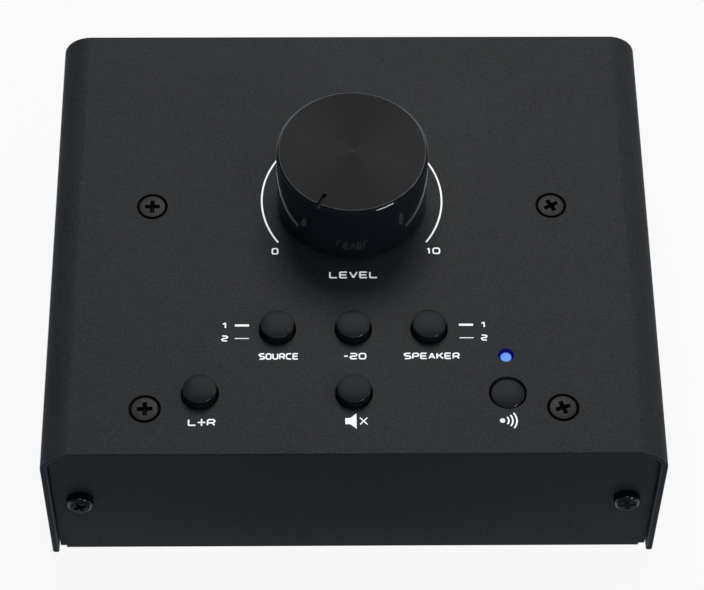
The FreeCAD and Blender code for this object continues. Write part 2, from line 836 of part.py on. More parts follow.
def make_jack_block(x):
    """Two jacks, one above the other, in one housing with two threaded bushings."""
    housing = block(around(x, jack_width), (panel_back - jack_depth, panel_back), (jack_deck, jack_top))
    housing = bevelled(housing, jack_edge, lambda middle: at(middle.z, jack_top))
    for z in jack_axes:
        bushing = rod_to_rear(x, z, panel_back, jack_bushing_end, jack_bushing_radius)
        housing = housing.fuse(bushing)
    for z in jack_axes:
        bore = rod_to_rear(x, z, jack_bushing_end - jack_bore_length, jack_bushing_end, jack_bore_radius)
        mouth = Part.makeCone(jack_bore_radius, jack_bore_radius + jack_mouth, jack_mouth,
                              V(x, jack_bushing_end - jack_mouth, z), REAR)
        housing = housing.cut([bore, mouth])
    return housing.removeSplitter()


def make_jack_washers():
    """Flat washers on the rear panel around the jacks' bushings."""
    end = panel_face + jack_washer_height
    washers = []
    for x, z in jack_spots:
        washer = rod_to_rear(x, z, panel_face, end, jack_washer_radius)
        hole = rod_to_rear(x, z, panel_face, end, jack_bushing_radius + thread_clearance)
        washers.append(washer.cut(hole))
    return group(washers)


def make_jack_nuts():
    """Hexagonal nuts on the jacks' bushings."""
    start = panel_face + jack_washer_height
    end = start + jack_nut_height
    nuts = []
    for x, z in jack_spots:
        nut = placed(hexagon(jack_nut_flats, jack_nut_height), (x, start, z), REAR)
        nuts.append(nut.cut(rod_to_rear(x, z, start, end, jack_bushing_radius + thread_clearance)))
    return group(nuts)


def make_solder_pins():
    """Solder pins of everything on both boards."""
    tail = board_under - pin_tail
    solids = pins(pot_pin_spots(), pot_pin_width, tail, deck + pot_board_gap)
    solids += pins(switch_pin_spots(), switch_pin_width, tail, deck)
    solids += pins(lead_spots(), lead_width, tail, lamp_foot())
    lower_tail = jack_board_under - pin_tail
    solids += pins(jack_pin_spots(), jack_pin_width, lower_tail, jack_deck)
    solids += pins(inlet_leg_spots(), inlet_leg_width, lower_tail, jack_deck)
    return group(solids)


def make_inlet():
    """Power inlet: housing with a round collar in the rear panel."""
    housing = block(around(inlet_x, inlet_width), (panel_back - inlet_depth, panel_back),
                    (jack_deck, jack_deck + inlet_height))
    collar = rod_to_rear(inlet_x, inlet_z, panel_back, inlet_mouth, inlet_collar_radius)
    bore = rod_to_rear(inlet_x, inlet_z, inlet_mouth - inlet_bore_length, inlet_mouth, inlet_bore_radius)
    return housing.fuse(collar).cut(bore).removeSplitter()


def make_inlet_pin():
    """Centre pin of the power inlet, standing on the bore's end."""
    start = inlet_mouth - inlet_bore_length
    return rod_to_rear(inlet_x, inlet_z, start, inlet_mouth - inlet_pin_sunk, inlet_pin_radius)


def make_headers():
    """Ribbon headers: one under the control board, one on the jack board."""
    upper = block(around(0, header_width), around(upper_header_y, header_depth),
                  (board_under - header_height, board_under))
    lower = block(around(0, header_width), around(lower_header_y, header_depth),
                  (jack_deck, jack_deck + header_height))
    return group([upper, lower])


def make_ribbon():
    """Ribbon cable: up from the lower header, forward between two quarter bends, up to the upper one."""
    start = jack_deck + header_height
    end = board_under - header_height
    middle = (start + end) / 2
    rear_axis = lower_header_y - ribbon_bend
    front_axis = upper_header_y + ribbon_bend
    across = around(0, ribbon_width)
    lower = block(across, around(lower_header_y, ribbon_thickness), (start, middle - ribbon_bend))
    level = block(across, (front_axis, rear_axis), around(middle, ribbon_thickness))
    upper = block(across, around(upper_header_y, ribbon_thickness), (middle + ribbon_bend, end))
    bends = []
    for face_y, axis_y, height in ((lower_header_y, rear_axis, middle - ribbon_bend),
                                   (upper_header_y, front_axis, middle + ribbon_bend)):
        near = face_y - ribbon_thickness / 2
        far = face_y + ribbon_thickness / 2
        outline = Part.makePolygon([V(across[0], near, height), V(across[1], near, height),
                                    V(across[1], far, height), V(across[0], far, height),
                                    V(across[0], near, height)])
        bends.append(Part.Face(outline).revolve(V(0, axis_y, height), V(1, 0, 0), 90))
    return lower.fuse([level, upper] + bends).removeSplitter()


def make_capacitors():
    """Two rows of upright capacitors beside the ribbon cable."""
    solids = []
    for side in (-1, 1):
        for step in range(capacitor_count):
            x = side * (capacitor_start + step * capacitor_pitch)
            can = rod(x, lower_header_y, jack_deck, jack_deck + capacitor_height, capacitor_radius)
            solids.append(can)
    return group(solids)


def make_receiver():
    """Wireless receiver module under the control board, with its shielding can."""
    bottom = board_under - receiver_sheet
    width, depth = around(receiver_x, receiver_width), around(receiver_y, receiver_depth)
    module = block(width, depth, (bottom, board_under))
    can = block(around(receiver_x, can_width), around(receiver_y, can_depth), (bottom - can_height, bottom))
    return group([module, can])


# ---------------------------------------------------------------- the assembly

parts["cover"] = make_cover()
parts["tray"] = make_tray()
parts["rear_panel"] = make_rear_panel()
parts["corner_brackets"] = make_brackets()
parts["case_screws"] = make_case_screws()
parts["rubber_feet"] = make_feet()

parts["top_screws"] = make_top_screws()
parts["board_spacers"] = make_spacers()
parts["board_screws"] = make_board_screws()
parts["control_board"] = make_control_board()

parts["pot_housing"] = make_pot_housing()
parts["pot_bushing"] = make_pot_bushing()
parts["pot_washer"] = make_pot_washer()
parts["pot_nut"] = make_pot_nut()
parts["pot_shaft"] = make_pot_shaft()
parts["pot_rotor"] = make_pot_rotor()
parts["knob_shell"] = make_knob_shell()
parts["knob_core"] = make_knob_core()

for name, (x, y) in button_spots.items():
    drop = button_drop(name)
    parts[name + "_switch"] = make_switch(x, y)
    parts[name + "_spring"] = make_spring(x, y, drop)
    parts[name + "_plunger"] = make_plunger(x, y, drop)
    parts[name + "_cap"] = make_button_cap(x, y, drop)

parts["lamp"] = make_lamp()
parts["lamp_sleeve"] = make_lamp_sleeve()

parts["jack_board"] = make_jack_board()
parts["jack_board_standoffs"] = make_standoffs()
parts["jack_board_screws"] = make_jack_board_screws()
for number, x in enumerate(jack_columns, 1):
    parts[f"jack_pair_{number}"] = make_jack_block(x)
parts["jack_washers"] = make_jack_washers()
parts["jack_nuts"] = make_jack_nuts()
parts["power_inlet"] = make_inlet()
parts["power_inlet_pin"] = make_inlet_pin()
parts["solder_pins"] = make_solder_pins()
parts["ribbon_headers"] = make_headers()
parts["ribbon_cable"] = make_ribbon()
parts["capacitors"] = make_capacitors()
parts["wireless_receiver"] = make_receiver()

os.makedirs("parts", exist_ok=True)
for name, shape in parts.items():
    shape.exportStep(f"parts/{name}.step")
    print(f"{name:22} {len(shape.Solids):3} solids {shape.Volume:10.1f} mm3 valid {shape.isValid()}")
print(len(parts), "nodes")
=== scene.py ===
# %% [markdown]
# # A studio monitor controller
# A small steel box with a big volume knob, six push buttons and a lamp on top, and jack sockets behind.
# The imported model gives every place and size. This script dresses it: finer meshes for what the eye
# sees, and a finish for every surface. All lengths are in metres, so `mm` turns millimetres into them.

# %% Load the frame
import json
from math import cos, hypot, pi, radians, sin, sqrt

import bpy
import bmesh
from mathutils import Matrix, Vector


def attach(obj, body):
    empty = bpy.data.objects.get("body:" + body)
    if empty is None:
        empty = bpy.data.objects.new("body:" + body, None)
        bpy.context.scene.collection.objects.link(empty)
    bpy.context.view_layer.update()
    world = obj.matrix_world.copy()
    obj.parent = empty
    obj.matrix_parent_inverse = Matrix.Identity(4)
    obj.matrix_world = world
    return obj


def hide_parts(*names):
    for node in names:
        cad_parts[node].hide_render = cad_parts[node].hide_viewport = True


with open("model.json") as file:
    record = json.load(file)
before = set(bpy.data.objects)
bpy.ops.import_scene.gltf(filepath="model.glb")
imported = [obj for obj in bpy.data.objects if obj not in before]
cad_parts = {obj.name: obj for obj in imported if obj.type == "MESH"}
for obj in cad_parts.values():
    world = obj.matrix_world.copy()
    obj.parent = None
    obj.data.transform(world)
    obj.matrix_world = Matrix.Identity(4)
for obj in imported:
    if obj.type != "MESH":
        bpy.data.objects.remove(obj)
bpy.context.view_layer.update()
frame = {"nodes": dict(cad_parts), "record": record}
mm = 0.001
up, rearward = Vector((0, 0, 1)), Vector((0, 1, 0))
scene = bpy.context.scene

# %% [markdown]
# ## Camera
# The camera looks down at the box from the front, from far away with a long lens, so the box hardly
# tapers. It is aimed with three angles round a point just above the table. Another way is a Track To
# constraint, but three angles say exactly how the box is seen, with the small roll of a hand-set tripod.

# %% Camera
elevation = radians(55.708)
azimuth = radians(-1.265)
roll = radians(0.857)
aim = Vector((0.474, 12.604, 2.5)) * mm
distance = 689.772 * mm

back = Vector((sin(azimuth) * cos(elevation), -cos(azimuth) * cos(elevation),
               sin(elevation)))
level = (-back).cross(up).normalized()
upright = level.cross(-back)
right = cos(roll) * level + sin(roll) * upright
top = cos(roll) * upright - sin(roll) * level

camera_data = bpy.data.cameras.new("camera")
camera_data.sensor_width = 36.0
camera_data.lens = 142.10
camera = bpy.data.objects.new("camera", camera_data)
axes = Matrix((right, top, back)).transposed().to_4x4()
camera.matrix_world = Matrix.Translation(aim + back * distance) @ axes
scene.collection.objects.link(camera)
scene.camera = camera
print("camera at", [round(c / mm) for c in camera.matrix_world.translation], "mm")

# %% [markdown]
# ## Shader expressions
# A procedural finish is a small sum: noise times a strength, plus a colour. Typed as nodes, such a sum
# is long to read. `Value` wraps a node's output, so that Python's own operators add the Math nodes, and
# `Finish` holds one material and adds any other node with one call.

# %% Values and finishes
class Value:
    """A node's output that can stand in a Python expression."""

    def __init__(self, finish, socket):
        self.finish = finish
        self.socket = socket

    def maths(self, operation, left, right):
        return self.finish.node("ShaderNodeMath", {"operation": operation}, {0: left, 1: right})

    def __add__(self, other):
        return self.maths("ADD", self, other)

    def __radd__(self, other):
        return self.maths("ADD", other, self)

    def __sub__(self, other):
        return self.maths("SUBTRACT", self, other)

    def __rsub__(self, other):
        return self.maths("SUBTRACT", other, self)

    def __mul__(self, other):
        return self.maths("MULTIPLY", self, other)

    def __rmul__(self, other):
        return self.maths("MULTIPLY", other, self)


class Finish:
    """A material, with one call for any node."""

    def __init__(self, name):
        self.material = bpy.data.materials.new(name)
        self.material.use_nodes = True
        self.tree = self.material.node_tree
        self.tree.nodes.clear()

    def node(self, kind, settings=None, sockets=None, out=0):
        """Any node: its settings are set first, then its sockets are set or linked. Returns one output."""
        made = self.tree.nodes.new(kind)
        for key, value in (settings or {}).items():
            setattr(made, key, value)
        for key, value in (sockets or {}).items():
            if isinstance(value, Value):
                self.tree.links.new(value.socket, made.inputs[key])
            else:
                made.inputs[key].default_value = value
        return Value(self, made.outputs[out])

    def place(self):
        """The point on the object, in metres, at rest."""
        return self.node("ShaderNodeTexCoord", out="Object")

    def along(self, axis):
        """One coordinate of that point."""
        return self.node("ShaderNodeSeparateXYZ", None, {"Vector": self.place()}, out=axis)

    def noise(self, size, detail=2.0, stretch=(1, 1, 1)):
        """Noise from 0 to 1 with grains of this size, longer along an axis with a small stretch value."""
        spot = self.node("ShaderNodeVectorMath", {"operation": "MULTIPLY"}, {0: self.place(), 1: stretch})
        return self.node("ShaderNodeTexNoise", None, {"Vector": spot, "Scale": 1 / size, "Detail": detail})

    def mix(self, factor, first, second):
        """From the first colour to the second as the factor goes from 0 to 1."""
        return self.node("ShaderNodeMix", {"data_type": "RGBA"}, {0: factor, 6: first, 7: second}, out=2)

    def above(self, value, limit, blur):
        """0 below the limit and 1 above it, with a soft step."""
        sockets = {"Value": value, "From Min": limit - blur, "From Max": limit + blur}
        return self.node("ShaderNodeMapRange", {"interpolation_type": "SMOOTHSTEP"}, sockets)

    def bump(self, height, depth):
        """A normal from a height of 0 to 1, where 1 stands this deep in metres."""
        return self.node("ShaderNodeBump", None, {"Strength": 1.0, "Distance": depth, "Height": height})

    def surface(self, specular=0.5, **sockets):
        """Ends with a Principled shader, underscores for spaces in its sockets. Returns the material."""
        named = {key.replace("_", " "): value for key, value in sockets.items()}
        shader = self.node("ShaderNodeBsdfPrincipled", None, {"Specular IOR Level": specular, **named})
        output = self.tree.nodes.new("ShaderNodeOutputMaterial")
        self.tree.links.new(shader.socket, output.inputs["Surface"])
        return self.material


def grey(level, tint=(1.0, 1.0, 1.0)):
    """A linear colour with alpha."""
    return (level * tint[0], level * tint[1], level * tint[2], 1.0)


print("shader helpers ready")

# %% [markdown]
# ## Floor and light
# The box stands on a white table in a bright studio. What the camera sees of the table is nearly all
# emission, so the box's shadow on it stays faint. What lights the box is another brightness, told apart
# with a Light Path node: white close by, and darker in front, where someone stands. The world is white
# for the camera and a dim cool fill for everything else, so the lamps below do the modelling.

# %% Table
grid = bmesh.new()
bmesh.ops.create_grid(grid, x_segments=8, y_segments=8, size=3.0)
table = bpy.data.objects.new("table_top", bpy.data.meshes.new("table_top"))
grid.to_mesh(table.data)
grid.free()
scene.collection.objects.link(table)
white = Finish("table_white")
viewer_spot, dark_within, white_beyond = (0.0, -0.20, 0.0), 0.095, 0.142
from_viewer = white.node("ShaderNodeVectorMath", {"operation": "DISTANCE"},
                         {0: white.place(), 1: viewer_spot}, out="Value")
lit = white.node("ShaderNodeMapRange", {"interpolation_type": "SMOOTHSTEP"},
                 {"Value": from_viewer, "From Min": dark_within, "From Max": white_beyond,
                  "To Min": 0.03, "To Max": 1.0})
bounce = white.mix(lit, grey(0.0), (0.80, 0.92, 1.05, 1))
seen = white.node("ShaderNodeLightPath", out="Is Camera Ray")
table.data.materials.append(white.surface(
    Base_Color=white.mix(white.noise(0.4), grey(0.018), grey(0.026)), Roughness=0.9, specular=0.1,
    Emission_Color=white.mix(seen, bounce, grey(0.924)), Emission_Strength=1.0))
print("table", [round(side, 1) for side in table.dimensions], "m")

# %% World
world = bpy.data.worlds.new("studio")
world.use_nodes = True
scene.world = world
background = world.node_tree.nodes["Background"]
sees = world.node_tree.nodes.new("ShaderNodeLightPath")
tone = world.node_tree.nodes.new("ShaderNodeMix")
tone.data_type = "RGBA"
tone.inputs[6].default_value = (0.13, 0.17, 0.24, 1)
tone.inputs[7].default_value = (0.935, 0.935, 0.935, 1)
world.node_tree.links.new(sees.outputs["Is Camera Ray"], tone.inputs[0])
world.node_tree.links.new(tone.outputs[2], background.inputs["Color"])
scene.view_settings.view_transform = "Standard"
print("world made of", len(world.node_tree.nodes), "nodes")

# %% [markdown]
# ### Lamps
# Black things are shaped by what they mirror, so the lamps are large soft boxes. The key stands high
# behind the box and greys the whole cover, one from the right lights the side, and a cool one above the
# viewer fills the front. A low narrow one at the front right only draws thin glints on rounded edges.

# %% Lamps
def soft_box(name, side, height, reach, width, depth, watts, colour=(1, 1, 1)):
    """A rectangular lamp aimed at the box: degrees clockwise from the rear, degrees up, metres away."""
    around, above = radians(side), radians(height)
    towards = Vector((sin(around) * cos(above), cos(around) * cos(above), sin(above)))
    data = bpy.data.lights.new(name, "AREA")
    data.shape = "RECTANGLE"
    data.size = width
    data.size_y = depth
    data.energy = watts
    data.color = colour
    lamp = bpy.data.objects.new(name, data)
    lamp.rotation_euler = towards.to_track_quat("Z", "Y").to_euler()
    lamp.location = towards * reach + Vector((0, 0, 0.04))
    scene.collection.objects.link(lamp)


soft_box("key_light", 4, 55, 0.9, 0.45, 0.40, 7.6)
soft_box("side_light", 72, 42, 0.5, 0.36, 0.30, 0.40)
soft_box("fill_light", 180, 62, 1.1, 0.5, 0.4, 1.0, (0.72, 0.90, 1.0))
soft_box("front_light", 137, 30, 1.2, 0.42, 0.07, 2.4)

# %% [markdown]
# ## Solids from sections
# Almost every piece here is turned on a lathe or bent from sheet, and both are a row of matching
# sections with a skin between them. `lofted` skins any row of loops, and `turned` first makes the loops
# from a profile of radius and height. Holes are cut afterwards with the exact Boolean. A round hole's
# cutter is turned too, and widens at its mouth, so that it leaves an eased edge without any bevel.

# %% Lofts and lathes
def piece_from(name, bm):
    """An object in the scene from a bmesh, its faces turned outwards."""
    bmesh.ops.recalc_face_normals(bm, faces=bm.faces[:])
    mesh = bpy.data.meshes.new(name)
    bm.to_mesh(mesh)
    bm.free()
    piece = bpy.data.objects.new(name, mesh)
    scene.collection.objects.link(piece)
    return piece


def skin(bm, loops, tube=False):
    """A closed skin over loops of points in millimetres. A tube joins its ends instead of closing them."""
    rings = [[bm.verts.new(Vector(point) * mm) for point in loop] for loop in loops]
    following = rings[1:] + rings[:1] if tube else rings[1:]
    for near, far in zip(rings, following):
        for step in range(len(near)):
            ahead = (step + 1) % len(near)
            bm.faces.new((near[step], near[ahead], far[ahead], far[step]))
    if not tube:
        bm.faces.new(rings[0])
        bm.faces.new(rings[-1])


def lofted(name, loops, tube=False):
    bm = bmesh.new()
    skin(bm, loops, tube)
    return piece_from(name, bm)


def turned(name, profile, centre, axis=up, steps=96, tube=False):
    """A lathe's work: a circle for each radius and height of the profile, round an axis."""
    turn = up.rotation_difference(axis)
    angles = [2 * pi * step / steps for step in range(steps)]
    loops = [[Vector(centre) + turn @ Vector((radius * cos(angle), radius * sin(angle), height))
              for angle in angles] for radius, height in profile]
    return lofted(name, loops, tube)


def arc(centre, radius, first, last, steps=6):
    """Points on an arc between two angles in degrees, ends included."""
    angles = [radians(first + (last - first) * step / steps) for step in range(steps + 1)]
    return [(centre[0] + radius * cos(angle), centre[1] + radius * sin(angle)) for angle in angles]


print("loft and lathe ready")

# %% Cutting
def boolean(piece, tools, operation="DIFFERENCE"):
    """Cuts the tools out of a piece's mesh, or adds them, or keeps what both share. Removes the tools."""
    for tool in tools:
        step = piece.modifiers.new("step", "BOOLEAN")
        step.operation = operation
        step.solver = "EXACT"
        step.object = tool
    graph = bpy.context.evaluated_depsgraph_get()
    made = bpy.data.meshes.new_from_object(piece.evaluated_get(graph))
    piece.modifiers.clear()
    piece.data = made
    for tool in tools:
        bpy.data.objects.remove(tool)
    return piece


def hole(centre, radius, length, lip, axis=up):
    """A cutter for a plain hole that starts at the centre and goes inwards, with an eased mouth."""
    mouth = [(radius + lip, 0.4), (radius + lip, 0.0)]
    mouth += [(radius + lip - lip * sin(radians(turn)), lip * cos(radians(turn)) - lip)
              for turn in (22.5, 45, 67.5)]
    foot = [(radius, -lip), (radius, -length)]
    return turned("cutter", mouth + foot, centre, axis)


def block(name, low, high):
    """A box between two corners."""
    (x0, y0, z0), (x1, y1, z1) = low, high
    return lofted(name, [[(x0, y0, z), (x1, y0, z), (x1, y1, z), (x0, y1, z)] for z in (z0, z1)])


print("cutters ready")

# %% [markdown]
# ### From mesh to piece
# Every piece ends the same way. It is shaded smooth over gentle turns only, and large flat faces stay
# flat. It gets a finish, and says which body it rides on and which solids it stands in for. Some faces
# then get a second finish, as with paint and a mask.

# %% Finishing a piece
def done(piece, finish, slot, body, *nodes):
    """Shades a piece, gives it a finish, and names its body and the solids it stands for. The slot is not
    used.
    """
    piece.data.materials.clear()
    piece.data.materials.append(finish)
    piece.data.shade_smooth()
    piece.data.set_sharp_from_angle(angle=radians(35))
    weights = piece.modifiers.new("flat faces stay flat", "WEIGHTED_NORMAL")
    weights.keep_sharp = True
    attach(piece, body)
    if nodes:
        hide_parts(*nodes)


def away_from(face, spot):
    """How far a face is from an upright axis, in millimetres."""
    return hypot(face.center.x / mm - spot[0], face.center.y / mm - spot[1])


def painted(piece, finish, wanted):
    """Gives another finish to those faces of a piece that pass a test."""
    piece.data.materials.append(finish)
    extra = len(piece.data.materials) - 1
    for face in piece.data.polygons:
        if wanted(face):
            face.material_index = extra


print("piece helpers ready")

# %% [markdown]
# ## Finishes
# Most finishes here are one noise that drives the colour, the roughness and a tiny relief together, as
# on real surfaces, where one grain shows in all three. `mottled` makes them. The powder coat, the knob's
# spun face, the lamp and the circuit boards need more, and get functions of their own.

# %% A general finish
def mottled(name, dark, light, grain, roughness, depth=0.0, spread=0.05, stretch=(1, 1, 1), **extra):
    """One noise drives colour, roughness and height. Grain and depth are in millimetres."""
    finish = Finish(name)
    grains = finish.noise(grain * mm, 3.0, stretch)
    sockets = {"Base_Color": finish.mix(grains, dark, light)}
    sockets["Roughness"] = (roughness - spread) + 2 * spread * grains
    if depth:
        sockets["Normal"] = finish.bump(grains, depth * mm)
    sockets.update(extra)
    return finish.surface(**sockets)


neutral, cool, deep, warm = (0.985, 1.0, 0.985), (0.93, 1.0, 1.06), (0.86, 1.0, 1.22), (1.0, 0.93, 0.82)
print("tints from neutral", neutral, "to warm", warm)

# %% [markdown]
# ### Powder coat
# The case is coated with a fine matt black powder. Under a lens it is a skin of tiny flat bumps, a few
# tenths of a millimetre across. A Voronoi pattern could make the bumps one by one, but at this distance
# a noise with some detail looks the same and costs less. A second noise, drawn out along X, gives the
# faint rows that the sheet's rolling leaves under the coat, and a third, broad one clouds it a little.

# %% Powder coat
def powder_coat(name, dark, light):
    finish = Finish(name)
    grains = finish.noise(0.32 * mm, 3.0)
    rows = finish.noise(0.42 * mm, 2.0, (0.15, 1, 1))
    broad = finish.noise(30 * mm, 1.0)
    height = 0.86 * grains + 0.14 * rows
    tone = height * 2.2 - 0.6 + 0.15 * (broad - 0.5)
    colour = finish.mix(tone, dark, light)
    roughness = 0.80 - 0.16 * grains
    return finish.surface(
        Base_Color=colour, Roughness=roughness, specular=0.07, Coat_Weight=0.02, Coat_Roughness=0.33,
        Sheen_Weight=0.06, Sheen_Roughness=0.2, Normal=finish.bump(height, 0.05 * mm))


case_coat = powder_coat("case_powder_coat", grey(0.010, neutral), grey(0.030, neutral))
print("coat made of", len(case_coat.node_tree.nodes), "nodes")

# %% [markdown]
# ### Screws and edges
# The screws are steel under a thin black oxide. The cover's flat heads are satin, and the pan heads are
# darker, with a smoother rim round the dome that catches a thin glint. Recesses and countersinks get a
# nearly black painted shade, the lamp's hole gets a painted blue glow of the lamp's light, and the
# sheet's cut edges get a lighter painted highlight.

# %% Finishes of screws, holes and edges
screw_black = mottled("screw_black_oxide", grey(0.010, neutral), grey(0.021, neutral), 0.5, 0.50, 0.004,
                      0.08, specular=0.11)
oxide = (grey(0.003, cool), grey(0.006, cool))
panel_screw_black = mottled("panel_screw_black", *oxide, 0.5, 0.3, 0.004, specular=0.04)
screw_rim = mottled("panel_screw_rim", *oxide, 0.5, 0.14, 0.004, specular=0.4)
# Nearly black painted shade, for the recesses and countersinks.
painted_shade_black = mottled("hole_edge_painted_shade", grey(0.001), grey(0.003), 0.4, 0.6, specular=0.03)
# Painted glow: emission on the wall of the lamp's hole stands in for the lamp's blue light on it.
lamp_glow_painted_wall = mottled("hole_wall_painted_lamp_glow", grey(0.006), grey(0.012), 0.4, 0.6, specular=0.03,
                         Emission_Color=(0.006, 0.006, 0.17, 1), Emission_Strength=0.5)
# Painted highlight: a lighter colour for the sheet's cut edges.
edge_painted_highlight = mottled("cut_edge_painted_highlight", grey(0.026, cool), grey(0.044, cool), 0.3, 0.6, 0.02, 0.06,
                    specular=0.3)
print(len(bpy.data.materials), "finishes so far")

# %% [markdown]
# ## Cover
# The cover is one sheet of steel, 1.5 mm thick, bent down at both sides. Seen from the front it is a
# U upside down, so it is lofted from that outline, front to rear, with the outline drawn in a little at
# the first and last sections. That leaves the cut edges rounded, as a coat of paint leaves them. After
# the holes are cut, the countersinks get a painted shade, the lamp's hole a painted glow of the lamp's
# light and the front edges a painted highlight.

# %% Cover's outline
case_half, case_top, case_end, base = 70.0, 46.0, 59.5, 2.0
cover_sheet, cover_bend = 1.5, 6.8


def mirrored(points):
    """The same outline on the other side, in the other order."""
    return [(-x, z) for x, z in reversed(points)]


def cover_outline(ease, foot=0.25):
    """The bent sheet from the front, drawn in by the ease all round."""
    shoulder = (case_half - cover_bend, case_top - cover_bend)
    inside = case_half - cover_sheet + ease
    outer = [(case_half - ease - foot, base + ease), (case_half - ease, base + ease + foot)]
    outer += arc(shoulder, cover_bend - ease, 0, 90, 14)
    inner = arc(shoulder, cover_bend - cover_sheet + ease, 90, 0, 14)
    inner += [(inside, base + ease + foot), (inside + foot, base + ease)]
    return outer + mirrored(outer) + mirrored(inner) + inner


def eased_stations(low, high, size):
    """Places along a length and how far the outline is drawn in there, for rounded ends."""
    turns = [radians(turn) for turn in (0, 30, 60, 90)]
    first = [(low + size * (1 - cos(turn)), size * (1 - sin(turn))) for turn in turns]
    last = [(high + low - place, ease) for place, ease in reversed(first)]
    return first + last


print("cover's outline:", len(cover_outline(0)), "points")

# %% Cover with its holes
knob_spot = (0.0, 10.0)
pitch = 17.25
button_spots = {"input": (-pitch, -26.4), "dim": (0.0, -26.4), "monitor": (pitch, -26.4),
                "mono": (-2 * pitch, -43.65), "mute": (0.0, -43.65), "wireless": (2 * pitch, -43.65)}
lamp_spot = (34.5, -33.6)
top_screw_spots = {(-46.7, 8.2): 0, (46.7, 8.2): 28, (-46.7, -47.6): 2, (46.7, -47.6): 20}

cover = lofted("case_cover", [[(x, y, z) for x, z in cover_outline(ease)]
                              for y, ease in eased_stations(-case_end, case_end, 0.25)])
button_hole, lamp_hole, shaft_hole, through = 4.25, 1.75, 3.65, 4.0
cutters = [hole((x, y, case_top), button_hole, through, 0.12) for x, y in button_spots.values()]
cutters.append(hole((*lamp_spot, case_top), lamp_hole, through, 0.10))
cutters.append(hole((*knob_spot, case_top), shaft_hole, through, 0.10))
sink_profile = [(3.66, 0.4), (3.66, 0.0), (3.56, -0.06), (1.56, -2.06)]
cutters += [turned("cutter", sink_profile, (x, y, case_top)) for x, y in top_screw_spots]
boolean(cover, cutters)
done(cover, case_coat, "case_paint", "case", "cover")


def in_countersink(face):
    """True for a face of a screw's cone-shaped hole."""
    near = min(away_from(face, spot) for spot in top_screw_spots)
    return near < sink_profile[0][0] and face.normal.z < 0.95


def in_lamp_hole(face):
    """True for a face of the wall round the lamp, which gets a painted glow of the lamp's light."""
    return away_from(face, lamp_spot) < lamp_hole + 0.09 and face.normal.z < 0.9


def is_cut_edge(face):
    """True for a face of the sheet's cut front edge at either side."""
    at_end, at_side = face.center.y < (0.3 - case_end) * mm, abs(face.center.x) > (case_half - 6.0) * mm
    return face.normal.y < -0.5 and at_end and at_side


# Painted shade in the countersinks.
painted(cover, painted_shade_black, in_countersink)
# Painted glow of the lamp's light on its hole's wall.
painted(cover, lamp_glow_painted_wall, in_lamp_hole)
# Painted highlight on the cut front edges.
painted(cover, edge_painted_highlight, is_cut_edge)
print("cover:", len(cover.data.vertices), "vertices,", len(cutters), "holes")

# %% [markdown]
# ## Tray and rear panel
# Under the cover sits a tray: the front panel and the floor, bent from one sheet, with a small square
# relief at each lower corner so that the bend doesn't tear. Its profile is lofted sideways, then an
# arch with rounded upper corners cuts its outline. The rear panel is the same arch, flat.

# %% Tray
panel_half, panel_top, panel_corner = 68.15, 44.1, 5.35
panel_face, panel_back, floor_top = 58.3, 56.9, 3.4
relief_width, relief_height, fold, spare = 1.4, 1.3, 0.5, 0.9
case_screw_spots = [(-62.1, 24.8), (62.1, 24.8)]


def arch_outline(ease=0.0, bottom=base):
    """A panel from the front: square below, rounded above."""
    shoulder = (panel_half - panel_corner, panel_top - panel_corner)
    side = [(panel_half - ease, bottom + ease)] + arc(shoulder, panel_corner - ease, 0, 90, 12)
    return side + mirrored(side)


fold_middle = (-panel_face + fold, base + fold)
tray_profile = [(-panel_face, panel_top + spare)] + arc(fold_middle, fold, 180, 270, 6)
tray_profile += [(panel_back, base), (panel_back, floor_top)]
tray_profile += [(-panel_back, floor_top), (-panel_back, panel_top + spare)]
front, rear, wide = -panel_face - spare, panel_back + spare, panel_half + spare
tray = lofted("case_tray", [[(x, y, z) for y, z in tray_profile] for x in (-wide, wide)])
arch = lofted("arch", [[(x, y, z) for x, z in arch_outline(bottom=base - spare)] for y in (front, rear)])
boolean(tray, [arch], "INTERSECT")
reliefs = []
for near in (-wide, panel_half - relief_width):
    far = near + relief_width + spare
    reliefs.append(block("relief", (near, front, base - spare), (far, rear, base + relief_height)))
screw_hole, standoff_hole = 1.7, 2.12
front_holes = [hole((x, -panel_face, z), screw_hole, through, 0.10, -rearward)
               for x, z in case_screw_spots]
standoff_spots = [(x, y) for x in (-55.2, 48.7) for y in (23.4, 51.4)]
floor_holes = [hole((x, y, base), standoff_hole, through, 0.05, -up) for x, y in standoff_spots]
boolean(tray, reliefs + front_holes + floor_holes)
done(tray, case_coat, "case_paint", "case", "tray")
print("tray:", len(tray.data.vertices), "vertices")

# %% Rear panel
jack_columns, jack_heights, inlet_spot = (-43.0, -22.25, -1.5, 19.25), (17.0, 33.0), (40.0, 15.5)
jack_spots = [(x, z) for x in jack_columns for z in jack_heights]
rear_panel = lofted("case_rear_panel", [[(x, y, z) for x, z in arch_outline(ease)]
                                        for y, ease in eased_stations(panel_back, panel_face, 0.15)])
bushing_hole, inlet_hole = 4.9, 4.4
rear_holes = [hole((x, panel_face, z), bushing_hole, through, 0.08, rearward) for x, z in jack_spots]
rear_holes.append(hole((inlet_spot[0], panel_face, inlet_spot[1]), inlet_hole, through, 0.10, rearward))
rear_holes += [hole((x, panel_face, z), screw_hole, through, 0.10, rearward) for x, z in case_screw_spots]
boolean(rear_panel, rear_holes)
done(rear_panel, case_coat, "case_paint", "case", "rear_panel")
print("rear panel:", len(rear_holes), "holes")

# %% [markdown]
# ## Knob
# The knob is a turned aluminium shell, anodised black. Its face is spun: a tool has left very fine
# circles in it, and light runs off such a face in two bright and two dark wedges. An anisotropic
# shader does that by itself, because without a Tangent link it takes circles round the upright line
# through the object's middle. The side is polished, so it is a second, smooth material. The bevel
# between them is a bright cut, the smoothest of all, and the pointer's slot is left dull.

# %% Knob's finishes
knob_low, knob_high, knob_radius, knob_wall, knob_ceiling, chamfer = 47.0, 65.0, 17.5, 2.2, 62.5, 0.6


